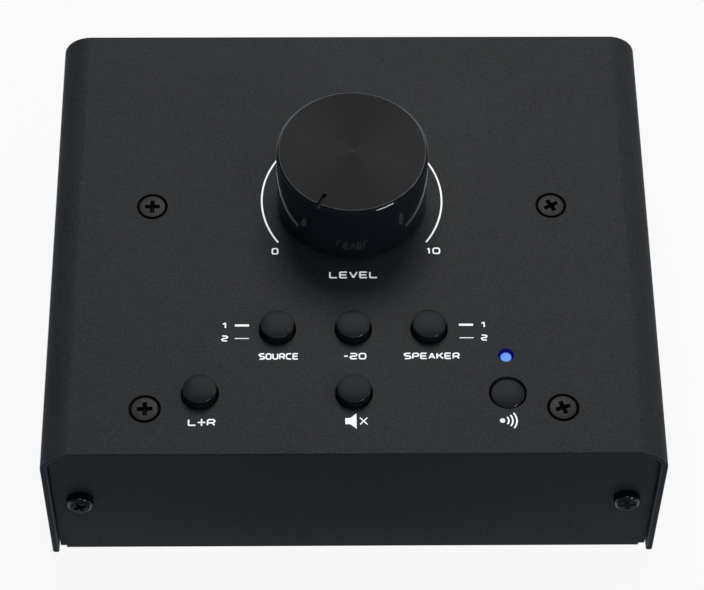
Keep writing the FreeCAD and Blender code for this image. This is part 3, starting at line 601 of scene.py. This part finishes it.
def spun_face(name):
    finish = Finish(name)
    centred = finish.node("ShaderNodeVectorMath", {"operation": "SUBTRACT"},
                          {0: finish.place(), 1: Vector((*knob_spot, knob_high)) * mm})
    spread = finish.node("ShaderNodeVectorMath", {"operation": "LENGTH"}, {0: centred}, out="Value")
    rings = finish.node("ShaderNodeTexNoise", {"noise_dimensions": "1D"},
                        {"W": spread, "Scale": 1 / (0.16 * mm), "Detail": 2.0})
    colour = finish.mix(rings, grey(0.002, cool), grey(0.004, cool))
    return finish.surface(
        Base_Color=colour, Roughness=0.42 + 0.08 * rings, Anisotropic=0.9, Anisotropic_Rotation=0.25,
        specular=0.070, Normal=finish.bump(rings, 0.0015 * mm))


knob_face = spun_face("knob_spun_face")
knob_side = mottled("knob_polished_side", grey(0.0120, deep), grey(0.0150, deep), 3.0, 0.11, 0.0, 0.02,
                    (1, 1, 6), specular=0.10)
knob_edge = mottled("knob_bright_cut_edge", grey(0.0015, cool), grey(0.0025, cool), 1.0, 0.09, 0.0, 0.02,
                    specular=0.36)
slot_dull = mottled("pointer_slot", grey(0.008, cool), grey(0.016, cool), 0.2, 0.7, specular=0.1)
print("knob finishes ready")

# %% [markdown]
# The shell is one lathe profile: down the inside, round the lower rim, up the outside, over the chamfer
# and in to the middle of the face. The chamfer's two edges are a little rounded, for a thin glint. The
# pointer is a small open slot, and is cut by a box that widens at its top.

# %% Knob shell
knob_inner, face_radius, side_top = knob_radius - knob_wall, knob_radius - chamfer, knob_high - chamfer
knob_profile = [(knob_inner, knob_ceiling), (knob_inner, knob_low + 0.2), (knob_inner + 0.2, knob_low)]
knob_profile += [(knob_radius - 0.2, knob_low), (knob_radius - 0.06, knob_low + 0.06)]
knob_profile += [(knob_radius, knob_low + 0.2), (knob_radius, side_top - 0.07)]
knob_profile += [(knob_radius - 0.02, side_top), (knob_radius - 0.06, side_top + 0.05)]
knob_profile += [(face_radius + 0.06, knob_high - 0.06), (face_radius, knob_high - 0.02)]
knob_profile += [(face_radius - 0.07, knob_high), (9.0, knob_high), (0.22, knob_high)]
knob_profile += [(0.14, knob_high - 0.02), (0.05, knob_high - 0.03)]
knob = turned("knob_turned_shell", knob_profile, (*knob_spot, 0), steps=192)
pointer_angle, pointer_inner = radians(-27), 13.8


def pointer_box(half_width, height):
    """A loop of the pointer slot's cutter, turned to where the pointer stands."""
    outer, inner = -knob_radius - 0.4, -pointer_inner
    corners = [(-half_width, outer), (half_width, outer), (half_width, inner), (-half_width, inner)]
    turn = Matrix.Rotation(pointer_angle, 3, "Z")
    return [Vector((*knob_spot, 0)) + turn @ Vector((x, y, height)) for x, y in corners]


pointer_levels = ((0.45, -0.9), (0.45, -0.07), (0.56, 0.04))
pointer = lofted("pointer", [pointer_box(half, knob_high + rise) for half, rise in pointer_levels])
boolean(knob, [pointer])
done(knob, knob_side, "knob_metal", "volume_knob", "knob_shell")
painted(knob, knob_face, lambda face: face.normal.z > 0.99 and face.center.z > (knob_high - 0.2) * mm)
to_pointer = Matrix.Rotation(-pointer_angle, 3, "Z")


def in_chamfer(face):
    """True for a face of the bright bevel round the top."""
    return away_from(face, knob_spot) > face_radius - 0.2 and 0.1 < face.normal.z < 0.99


painted(knob, knob_edge, in_chamfer)


def in_pointer(face):
    """True for a face of the pointer slot."""
    spot = to_pointer @ (face.center / mm - Vector((*knob_spot, 0)))
    along = pointer_inner - 0.1 < -spot.y < knob_radius + 0.05
    return abs(spot.x) < 0.6 and along and knob_high - 1.0 < spot.z < knob_high - 0.005


painted(knob, slot_dull, in_pointer)
print("knob:", len(knob.data.polygons), "faces,", len(knob.data.materials), "finishes")

# %% [markdown]
# ## Button caps
# Six round caps of satin black plastic stand in clear holes in the cover. Each is turned, with a very
# slightly domed face and a rounded rim, and has a square socket below for its switch's stem. The rim is
# smoother than the face, where the mould is polished. The cap on the right is latched in, level with
# the cover, so its lamp is lit.

# %% Button caps
cap_plastic = mottled("cap_satin_plastic", grey(0.011, cool), grey(0.014, cool), 0.25, 0.24, 0.004,
                      specular=0.017)
cap_edge = mottled("cap_smooth_edge", grey(0.012, cool), grey(0.016, cool), 0.25, 0.12, 0.0, 0.03,
                   specular=0.6)
cap_radius, cap_round, cap_low, cap_high, travel = 3.8, 0.3, 42.3, 48.5, 2.5
crown_radius, rim_drop, socket_half, socket_depth = 28.0, 0.53, 1.53, 4.0


def cap_profile(low, high):
    """Up the side, round the rim and over the crown, which is nearly a part of a sphere."""
    crown = [(reach, high - reach ** 2 / (2 * crown_radius)) for reach in (3.0, 2.5, 2.0, 1.5, 1.0, 0.3)]
    rim = (cap_radius - cap_round, high - rim_drop)
    side = [(cap_radius - 0.15, low), (cap_radius, low + 0.15), (cap_radius, rim[1])]
    return side + arc(rim, cap_round, 0, 84, 7)[1:] + crown


for button, (x, y) in button_spots.items():
    drop = travel if button == "wireless" else 0.0
    low, high = cap_low - drop, cap_high - drop
    cap = turned(f"{button}_button_cap", cap_profile(low, high), (x, y, 0), steps=72)
    socket = block("socket", (x - socket_half, y - socket_half, low - 1),
                   (x + socket_half, y + socket_half, low + socket_depth))
    boolean(cap, [socket])
    done(cap, cap_plastic, "button_plastic", f"{button}_button", f"{button}_cap")
    painted(cap, cap_edge, lambda face: 0.55 < face.normal.z < 0.87)
print(len(button_spots), "caps")

# %% [markdown]
# ## Lamp
# The lamp is a small blue light-emitting diode that ends just below the cover's face. Its crown glows
# light blue, deeper towards the rear, and its flank, down in the hole, only dimly. One material
# does it all with two soft steps that mix emission colours: one on the height, one from front to rear.

# %% Lamp lens
lens_radius, dome_base, glow_from = 1.5, 44.25, 45.10


def lamp_glow(name):
    finish = Finish(name)
    crown = finish.above(finish.along("Z"), glow_from * mm, 0.12 * mm)
    rear_half = finish.above(finish.along("Y"), (lamp_spot[1] - 0.2) * mm, 0.9 * mm)
    mist = finish.noise(0.6 * mm)
    hot = finish.mix(rear_half, (0.150, 0.380, 0.86, 1), (0.125, 0.235, 0.86, 1))
    glow = finish.mix(crown, (0.005, 0.010, 0.16, 1), hot)
    body = finish.mix(mist, (0.01, 0.03, 0.08, 1), (0.02, 0.05, 0.12, 1))
    return finish.surface(Base_Color=body, Roughness=0.40 + 0.05 * mist, specular=0.1,
                          Emission_Color=glow, Emission_Strength=1.0)


lens_profile = [(1.9, 40.45), (1.9, 41.45), (lens_radius, 41.45), (lens_radius, dome_base)]
lens_profile += arc((0, dome_base), lens_radius, 0, 84, 9)[1:]
lens = turned("lamp_lens", lens_profile, (*lamp_spot, 0), steps=64)
done(lens, lamp_glow("lamp_blue_glow"), "lamp_resin", "case", "lamp")
print("lamp's crown at", round(max(v.co.z for v in lens.data.vertices) / mm, 2), "mm")

# %% [markdown]
# ## Screws
# Four countersunk screws sit in the cover and four pan heads in the front and rear panels. All have a
# cross recess, whose cutter is lofted from crosses, wide above and narrow below. Each screw is turned
# a little differently, as a screwdriver leaves them.

# %% Cross recess
def cross_loop(span, arm, place):
    """A cross with four equal arms, set in place by a matrix that moves millimetres."""
    far, near = span / 2, arm / 2
    loop = []
    for quarter in range(4):
        turn = Matrix.Rotation(radians(90 * quarter), 3, "Z")
        loop += [turn @ Vector((x, y, 0)) for x, y in ((near, near), (near, far), (-near, far))]
    return [place @ point for point in loop]


def recess(face, spot, axis, turn):
    """The cutter of one cross recess in a screw whose face stands at this height on its axis."""
    aimed = up.rotation_difference(axis).to_matrix().to_4x4() @ Matrix.Rotation(radians(turn), 4, "Z")
    place = Matrix.Translation(Vector(spot)) @ aimed
    levels = [(3.56, 1.08, 0.3), (3.52, 1.06, 0.0), (3.3, 0.86, -0.12), (1.5, 0.5, -1.2)]
    return lofted("recess", [cross_loop(span, arm, place @ Matrix.Translation((0, 0, face + depth)))
                             for span, arm, depth in levels])


def joined(name, pieces):
    """Several objects as one, their meshes put together."""
    bm = bmesh.new()
    for piece in pieces:
        bm.from_mesh(piece.data)
        bpy.data.objects.remove(piece)
    return piece_from(name, bm)


print("cross recess ready")

# %% Screws
sunk_profile = [(1.4, -6.0), (1.5, -5.9), (1.5, -2.1), (2.97, -0.63), (3.0, -0.5), (3.0, -0.14)]
sunk_profile += [(2.96, -0.04), (2.86, 0.0), (0.4, 0.0)]
sunk_screws = []
for (x, y), turn in top_screw_spots.items():
    screw = turned("screw", sunk_profile, (x, y, case_top), steps=72)
    sunk_screws.append(boolean(screw, [recess(0.0, (x, y, case_top), up, turn)]))
cover_screws = joined("cover_screws", sunk_screws)
done(cover_screws, screw_black, "black_steel", "case", "top_screws")
# Painted shade in the cross recesses, below the heads' faces.
painted(cover_screws, painted_shade_black, lambda face: face.center.z < (case_top - 0.02) * mm)

pan_height = 2.4
pan_profile = [(1.4, -6.0), (1.5, -5.9), (1.5, 0.0), (2.92, 0.0), (3.0, 0.1), (3.0, 1.3)]
pan_profile += arc((1.9, 1.3), 1.1, 0, 90, 8)[1:] + [(0.4, pan_height)]
pan_screws = []
for side, turns in ((-1, (24, 8)), (1, (40, 15))):
    for (x, z), turn in zip(case_screw_spots, turns):
        spot, outwards = (x, side * panel_face, z), rearward * side
        screw = turned("screw", pan_profile, spot, outwards, 72)
        pan_screws.append(boolean(screw, [recess(pan_height, spot, outwards, turn)]))
panel_screws = joined("panel_screws", pan_screws)
done(panel_screws, panel_screw_black, "black_steel", "case", "case_screws")
painted(panel_screws, screw_rim, lambda face: 0.3 < abs(face.normal.y) < 0.9)
print(len(sunk_screws) + len(pan_screws), "screws")

# %% [markdown]
# ## Feet
# Four soft rubber pads are stuck under the tray. They are turned too, with a flank that narrows towards
# the table, an eased lower edge and a shallow dish in the middle, where the mould pressed them.

# %% Feet
rubber = mottled("foot_rubber", grey(0.012), grey(0.026), 0.6, 0.85, 0.02, 0.06)
foot_profile = [(0.3, 0.25), (3.2, 0.25), (3.5, 0.0), (4.1, 0.0), (4.4, 0.15), (4.95, 1.8), (4.95, 2.0)]
feet = [turned("foot", foot_profile, (x, y, 0)) for x in (-54, 54) for y in (-43.5, 43.5)]
done(joined("rubber_pads", feet), rubber, "foot_rubber", "case", "rubber_feet")
print(len(feet), "feet")

# %% [markdown]
# ## Jacks and power inlet
# Behind are eight jack sockets in four stacked pairs, each with a threaded bushing, a washer and a hex
# nut on the panel, and one small power inlet. A real nut is a hexagon whose corners are turned off on a
# lathe, and it is made that way here: a hexagonal prism and a chamfered ring, and what both share.

# %% Jack nuts and washers
bright_nickel = mottled("nut_nickel", grey(0.48, warm), grey(0.60, warm), 1.2, 0.26, 0.003, 0.07,
                        Metallic=1.0)
nut_ring = [(4.72, 0.0), (7.4, 0.0), (7.4, 1.7), (6.15, 2.2), (5.0, 2.2), (4.72, 1.95)]
washer_ring = [(4.72, 0.05), (4.78, 0.0), (6.4, 0.0), (6.5, 0.1), (6.5, 0.4), (6.4, 0.5)]
washer_ring += [(4.78, 0.5), (4.72, 0.45)]
nut_foot, nut_face, across_flats = 58.8, 61.0, 12.0


def hexagon_loop(flats, x, y, z):
    """A hexagon in the plane of the rear panel, this wide across its flats."""
    corner = flats / 2 / cos(radians(30))
    angles = [radians(60 * step) for step in range(6)]
    return [(x + corner * cos(angle), y, z + corner * sin(angle)) for angle in angles]


nuts, washers = [], []
for x, z in jack_spots:
    ring = turned("ring", nut_ring, (x, nut_foot, z), rearward, tube=True)
    prism = lofted("prism", [hexagon_loop(across_flats, x, y, z) for y in (nut_foot, nut_face)])
    nuts.append(boolean(prism, [ring], "INTERSECT"))
    washers.append(turned("washer", washer_ring, (x, panel_face, z), rearward, tube=True))
done(joined("jack_hex_nuts", nuts), bright_nickel, "nickel", "case", "jack_nuts")
done(joined("jack_flat_washers", washers), bright_nickel, "nickel", "case", "jack_washers")
print(len(nuts), "nuts")

# %% Jack pairs
jack_black = mottled("jack_black_plastic", grey(0.010), grey(0.017), 0.4, 0.40, 0.005, 0.06)
crest, root, thread_pitch = 4.7, 4.52, 0.6
bushing_profile = [(4.2, -1.0), (crest, -0.9)]
for ridge in [step * thread_pitch for step in range(7)]:
    bushing_profile += [(crest, ridge), (crest, ridge + 0.2), (root, ridge + 0.35), (root, ridge + 0.45)]
bushing_length, jack_bore, bore_depth, half, bevel = 4.6, 3.25, 31.0, 8.0, 0.6
bushing_profile += [(4.6, 4.25), (4.6, 4.42), (4.42, bushing_length), (3.2, bushing_length)]
low, high, front, mouth = 9.0, 41.0, panel_back - 28.0, panel_back + bushing_length
for number, x in enumerate(jack_columns, 1):
    section = [(x - half, low), (x + half, low), (x + half, high - bevel), (x + half - bevel, high)]
    section += [(x - half + bevel, high), (x - half, high - bevel)]
    sections = [[(a, y, b) for a, b in section] for y in (front, panel_back)]
    housing = lofted(f"jack_block_{number}", sections)
    bushings = [turned("bushing", bushing_profile, (x, panel_back, z), rearward, 72)
                for z in jack_heights]
    boolean(housing, bushings, "UNION")
    bores = [hole((x, mouth, z), jack_bore, bore_depth, 0.5, rearward) for z in jack_heights]
    boolean(housing, bores)
    done(housing, jack_black, "jack_plastic", "case", f"jack_pair_{number}")
print(len(jack_columns), "jack pairs")

# %% Power inlet
x, z = inlet_spot
collar_length, inlet_bore, inlet_depth, pin_tip = 1.7, 3.15, 9.5, 0.7
inlet = block("inlet_body", (x - 4.5, panel_back - 14, 9.0), (x + 4.5, panel_back, 20.0))
collar_profile = [(4.1, -1.0), (4.2, -0.9), (4.2, 1.55), (4.05, collar_length), (0.4, collar_length)]
collar = turned("collar", collar_profile, (x, panel_back, z), rearward)
boolean(inlet, [collar], "UNION")
boolean(inlet, [hole((x, panel_back + collar_length, z), inlet_bore, inlet_depth, 0.15, rearward)])
done(inlet, jack_black, "moulded_black", "case", "power_inlet")
pin_profile = [(1.0, -8.5), (1.0, -0.35), (0.85, -0.1), (0.5, 0.0), (0.2, 0.0)]
inlet_pin = turned("inlet_centre_pin", pin_profile, (x, panel_back + pin_tip, z), rearward, 48)
done(inlet_pin, bright_nickel, "nickel", "case", "power_inlet_pin")
print("inlet:", [round(side / mm, 1) for side in inlet.dimensions])

# %% [markdown]
# ## Legends
# White legends are printed on the cover: an arc round the knob, marks and words. Print could be painted
# in the coat's material with masks, but thin raised shapes keep crisp edges from near and far, and real
# screen print does stand up a little. Every line is a flat ribbon that follows a path. The ink also has
# a faint painted glow, so that it stays white where the knob's shadow falls on it.

# %% Ink and lines
# The emission is a painted glow, so the ink stays white where shade falls on it.
ink_with_painted_glow = mottled("print_white_ink_painted_glow", grey(0.46), grey(0.56), 0.4, 0.55, 0.004, specular=0.3,
                    Emission_Color=grey(1.0), Emission_Strength=0.42)
on_cover = Matrix.Translation((0, 0, case_top))
ink_low, ink_high = -0.01, 0.02


def stroke(ink, path, width, place=on_cover, round_ends=True):
    """A flat line along a path of points, in millimetres, its ends round or square."""
    points = [Vector(point) for point in path]
    first, last = (points[0] - points[1]).normalized(), (points[-1] - points[-2]).normalized()
    half = width / 2
    rounds = [(reach, sqrt(1 - reach ** 2)) for reach in (0.97, 0.8, 0.5, 0.2)] if round_ends else []
    stations = [(points[0] + first * half * reach, -first, share) for reach, share in rounds]
    for index, point in enumerate(points):
        behind = (point - points[index - 1]).normalized() if index else -first
        ahead = (points[index + 1] - point).normalized() if index + 1 < len(points) else last
        along = (behind + ahead).normalized()
        stations.append((point, along, 1 / max(along.dot(ahead), 0.5)))
    stations += [(points[-1] + last * half * reach, last, share) for reach, share in reversed(rounds)]
    loops = []
    for point, along, share in stations:
        side = Vector((-along.y, along.x)) * half * share
        near, far = point - side, point + side
        corners = (*far, ink_low), (*near, ink_low), (*near, ink_high), (*far, ink_high)
        loops.append([place @ Vector(corner) for corner in corners])
    skin(ink, loops)


def plate(ink, outline):
    """A flat filled outline on the cover, in millimetres."""
    skin(ink, [[on_cover @ Vector((x, y, height)) for x, y in outline] for height in (ink_low, ink_high)])


def printed(name, ink):
    """Makes one piece of print from its bmesh."""
    piece = piece_from(name, ink)
    print(name, "has", len(piece.data.polygons), "faces")
    done(piece, ink_with_painted_glow, "", "case")


print("ink made of", len(ink_with_painted_glow.node_tree.nodes), "nodes")

# %% [markdown]
# The words are plain capitals in a wide, square style, as a drafting stencil has them. Blender's own
# font is rounder, so each letter is a few strokes on a unit square, and `label` spaces and fits a word.

# %% Letters
closed_loop = [(0.5, 0), (1, 0), (1, 1), (0, 1), (0, 0), (0.5, 0)]
letter_strokes = {
    "A": [[(0, 0), (0.5, 1)], [(0.5, 1), (1, 0)], [(0.22, 0.3), (0.78, 0.3)]],
    "C": [[(1, 1), (0, 1), (0, 0), (1, 0)]],
    "E": [[(1, 1), (0, 1)], [(0, 1), (0, 0)], [(0, 0), (1, 0)], [(0, 0.5), (0.9, 0.5)]],
    "I": [[(0.5, 0), (0.5, 1)]],
    "K": [[(0, 0), (0, 1)], [(1, 1), (0.1, 0.45)], [(0.4, 0.6), (1, 0)]],
    "L": [[(0, 1), (0, 0)], [(0, 0), (1, 0)]],
    "N": [[(0, 0), (0, 1)], [(0, 1), (1, 0)], [(1, 0), (1, 1)]],
    "O": [closed_loop],
    "P": [[(0, 0), (0, 1), (1, 1), (1, 0.42), (0, 0.42)]],
    "R": [[(0, 0), (0, 1), (1, 1), (1, 0.42), (0, 0.42)], [(0.62, 0.42), (1, 0)]],
    "S": [[(1, 1), (0, 1), (0, 0.5), (1, 0.5), (1, 0), (0, 0)]],
    "T": [[(0, 1), (1, 1)], [(0.5, 1), (0.5, 0)]],
    "U": [[(0, 1), (0, 0), (1, 0), (1, 1)]],
    "V": [[(0, 1), (0.5, 0)], [(0.5, 0), (1, 1)]],
    "0": [closed_loop],
    "1": [[(0.1, 0.75), (0.6, 1)], [(0.6, 1), (0.6, 0)]],
    "2": [[(0, 1), (1, 1), (1, 0.5), (0, 0.5), (0, 0), (1, 0)]],
    "5": [[(1, 1), (0, 1), (0, 0.55), (1, 0.55), (1, 0), (0, 0)]],
    "-": [[(0, 0.5), (1, 0.5)]],
    "+": [[(-0.1, 0.5), (1.1, 0.5)], [(0.5, -0.1), (0.5, 1.1)]],
    " ": [],
}
narrow = {"I": 0.12, "1": 0.5, "-": 0.6, "+": 0.9, " ": 0.4}


def rounded_path(points, radius):
    """The same path with each inner corner replaced by a small curve."""
    path = [Vector(point) for point in points]
    smooth = [path[0]]
    for before, corner, after in zip(path, path[1:], path[2:]):
        start = corner + (before - corner).normalized() * min(radius, (before - corner).length / 2)
        end = corner + (after - corner).normalized() * min(radius, (after - corner).length / 2)
        for share in (0, 0.25, 0.5, 0.75, 1):
            smooth.append(start.lerp(corner, share).lerp(corner.lerp(end, share), share))
    return smooth + [path[-1]]


def label(ink, text, left, right, low, high, place=on_cover, bold=0.36):
    """A word that fills a box, in millimetres."""
    gap = 0.42
    total = sum(narrow.get(letter, 1.0) for letter in text) + gap * (len(text) - 1)
    scale_x = (right - left - bold) / total
    pen = left + bold / 2
    for letter in text:
        wide = narrow.get(letter, 1.0) * scale_x
        for path in letter_strokes[letter]:
            spots = [(pen + x * wide, low + bold / 2 + y * (high - low - bold)) for x, y in path]
            stroke(ink, rounded_path(spots, 0.5), bold, place, round_ends=False)
        pen += wide + gap * scale_x


print(len(letter_strokes), "characters")

# %% Scale round the knob
scale, scale_radius = bmesh.new(), 21.1
around = [radians(turn) for turn in range(55, 306, 2)]
stroke(scale, [(knob_spot[0] + scale_radius * sin(turn), knob_spot[1] - scale_radius * cos(turn))
               for turn in around], 0.41)
label(scale, "0", -18.7, -17.1, -5.65, -3.8)
label(scale, "10", 17.2, 20.4, -5.65, -3.8)
label(scale, "LEVEL", -5.4, 5.8, -12.4, -10.5)
printed("print_knob_scale", scale)

# %% Button legends
legends, bar_length, digit_width = bmesh.new(), 3.2, 1.45
for word, left, right in (("SOURCE", -21.4, -12.4), ("-20", -2.3, 2.9), ("SPEAKER", 11.4, 24.0)):
    label(legends, word, left, right, -34.65, -32.9, bold=0.34)
label(legends, "L+R", -37.0, -30.9, -52.1, -50.3, bold=0.34)
for bar_left, digit_left in ((-26.9, -29.9), (24.1, 29.0)):
    for digit, height, thickness in (("1", -25.35, 0.57), ("2", -28.9, 0.21)):
        stroke(legends, [(bar_left, height), (bar_left + bar_length, height)], thickness, round_ends=False)
        label(legends, digit, digit_left, digit_left + digit_width, height - 0.8, height + 0.85, bold=0.32)
printed("print_button_legends", legends)

# %% [markdown]
# Two buttons have symbols instead of words: a loudspeaker with a cross, for silence, and a dot that
# sends out waves, for the wireless input. They are plain outlines and strokes, as anyone would draw them.

# %% Symbols
symbols = bmesh.new()
plate(symbols, [(-2.0, -51.8), (-0.9, -51.8), (0.5, -53.0), (0.5, -49.0), (-0.9, -50.2), (-2.0, -50.2)])
stroke(symbols, [(1.35, -51.8), (2.85, -50.2)], 0.27)
stroke(symbols, [(1.35, -50.2), (2.85, -51.8)], 0.27)
wave_middle = (33.0, -51.0)
plate(symbols, arc(wave_middle, 0.58, 0, 345, 23))
for radius in (1.4, 2.3, 3.2):
    stroke(symbols, arc(wave_middle, radius, -35, 35, 12), 0.37)
printed("print_symbols", symbols)

# %% [markdown]
# The rear panel gets small plain labels beside its sockets. They are read from behind, so a matrix
# turns the flat layout: its first axis points along -X, its second one up, and the ink faces the rear.

# %% Rear legends
from_behind = Matrix(((-1, 0, 0, 0), (0, 0, 1, panel_face), (0, 1, 0, 0), (0, 0, 0, 1)))
rear_ink = bmesh.new()
for x, title in zip(jack_columns, ("OUT 2", "OUT 1", "IN 2", "IN 1")):
    label(rear_ink, title, -x - 4.6, -x + 4.6, 40.6, 42.2, from_behind, 0.32)
    for z, channel in zip(jack_heights, ("R", "L")):
        label(rear_ink, channel, -x - 9.4, -x - 7.9, z - 0.75, z + 0.75, from_behind, 0.30)
x = inlet_spot[0]
label(rear_ink, "5 V", -x - 2.1, -x + 2.1, 21.8, 23.4, from_behind, 0.32)
printed("print_rear_labels", rear_ink)

# %% [markdown]
# ## Solids that keep their shape
# The parts inside the case are already right as solids, so they stay and only get finishes. The
# record's material slots say what each is made of, and one dictionary turns a slot into a finish. The
# circuit boards come last, with faint copper tracks under green lacquer from a Brick Texture.

# %% Finishes inside the case
inside = {
    "plated_steel": mottled("zinc_plated_steel", grey(0.42, (1, 1, 1.03)), grey(0.58, (1, 1, 1.03)), 2.0,
                            0.34, 0.004, 0.08, Metallic=1.0),
    "tinned_copper": mottled("tinned_pins", grey(0.55), grey(0.68), 0.5, 0.32, 0.004, 0.06, Metallic=1.0),
    "nickel": bright_nickel,
    "shaft_metal": mottled("turned_shaft", grey(0.50), grey(0.62), 0.3, 0.28, 0.003, 0.05, (0.1, 0.1, 1),
                           Metallic=1.0),
    "moulded_black": mottled("moulded_black_plastic", grey(0.014), grey(0.024), 0.4, 0.45, 0.008, 0.06),
    "plunger_plastic": mottled("plunger_cream_plastic", (0.62, 0.60, 0.53, 1), (0.70, 0.68, 0.61, 1), 0.8,
                               0.38, 0.004),
    "spring_steel": mottled("spring_steel", grey(0.40), grey(0.52), 0.4, 0.25, 0.002, Metallic=1.0),
    "ribbon_grey": mottled("ribbon_grey_vinyl", grey(0.30), grey(0.40), 1.3, 0.5, 0.05, 0.05,
                           (1, 0.05, 0.05)),
    "capacitor_sleeve": mottled("capacitor_sleeve", (0.01, 0.012, 0.02, 1), (0.02, 0.024, 0.04, 1), 0.8,
                                0.3, 0.01),
}
print(len(inside), "finishes for the inside")

# %% Circuit board finish
def board_resin(name):
    """Green lacquer over copper tracks, which are the joints of a brick pattern, lighter and raised."""
    finish = Finish(name)
    tracks = finish.node("ShaderNodeTexBrick", None, {
        "Vector": finish.place(), "Scale": 60.0, "Mortar Size": 0.012, "Brick Width": 0.35,
        "Row Height": 0.12}, out="Fac")
    cloud = finish.noise(8 * mm)
    lacquer = finish.mix(cloud, (0.004, 0.055, 0.028, 1), (0.006, 0.075, 0.038, 1))
    colour = finish.mix(tracks, lacquer, (0.012, 0.12, 0.06, 1))
    return finish.surface(Base_Color=colour, Roughness=0.28 + 0.08 * cloud,
                          Normal=finish.bump(tracks, 0.03 * mm))


inside["board_resin"] = board_resin("board_green_lacquer")
slot_of = {part["node"]: part["material_slot"] for part in frame["record"]["subparts"]}
kept = [name for name, node in frame["nodes"].items() if not node.hide_render]
for name in kept:
    node = frame["nodes"][name]
    node.data.materials.clear()
    node.data.materials.append(inside[slot_of[name]])
print(len(kept), "solids kept")
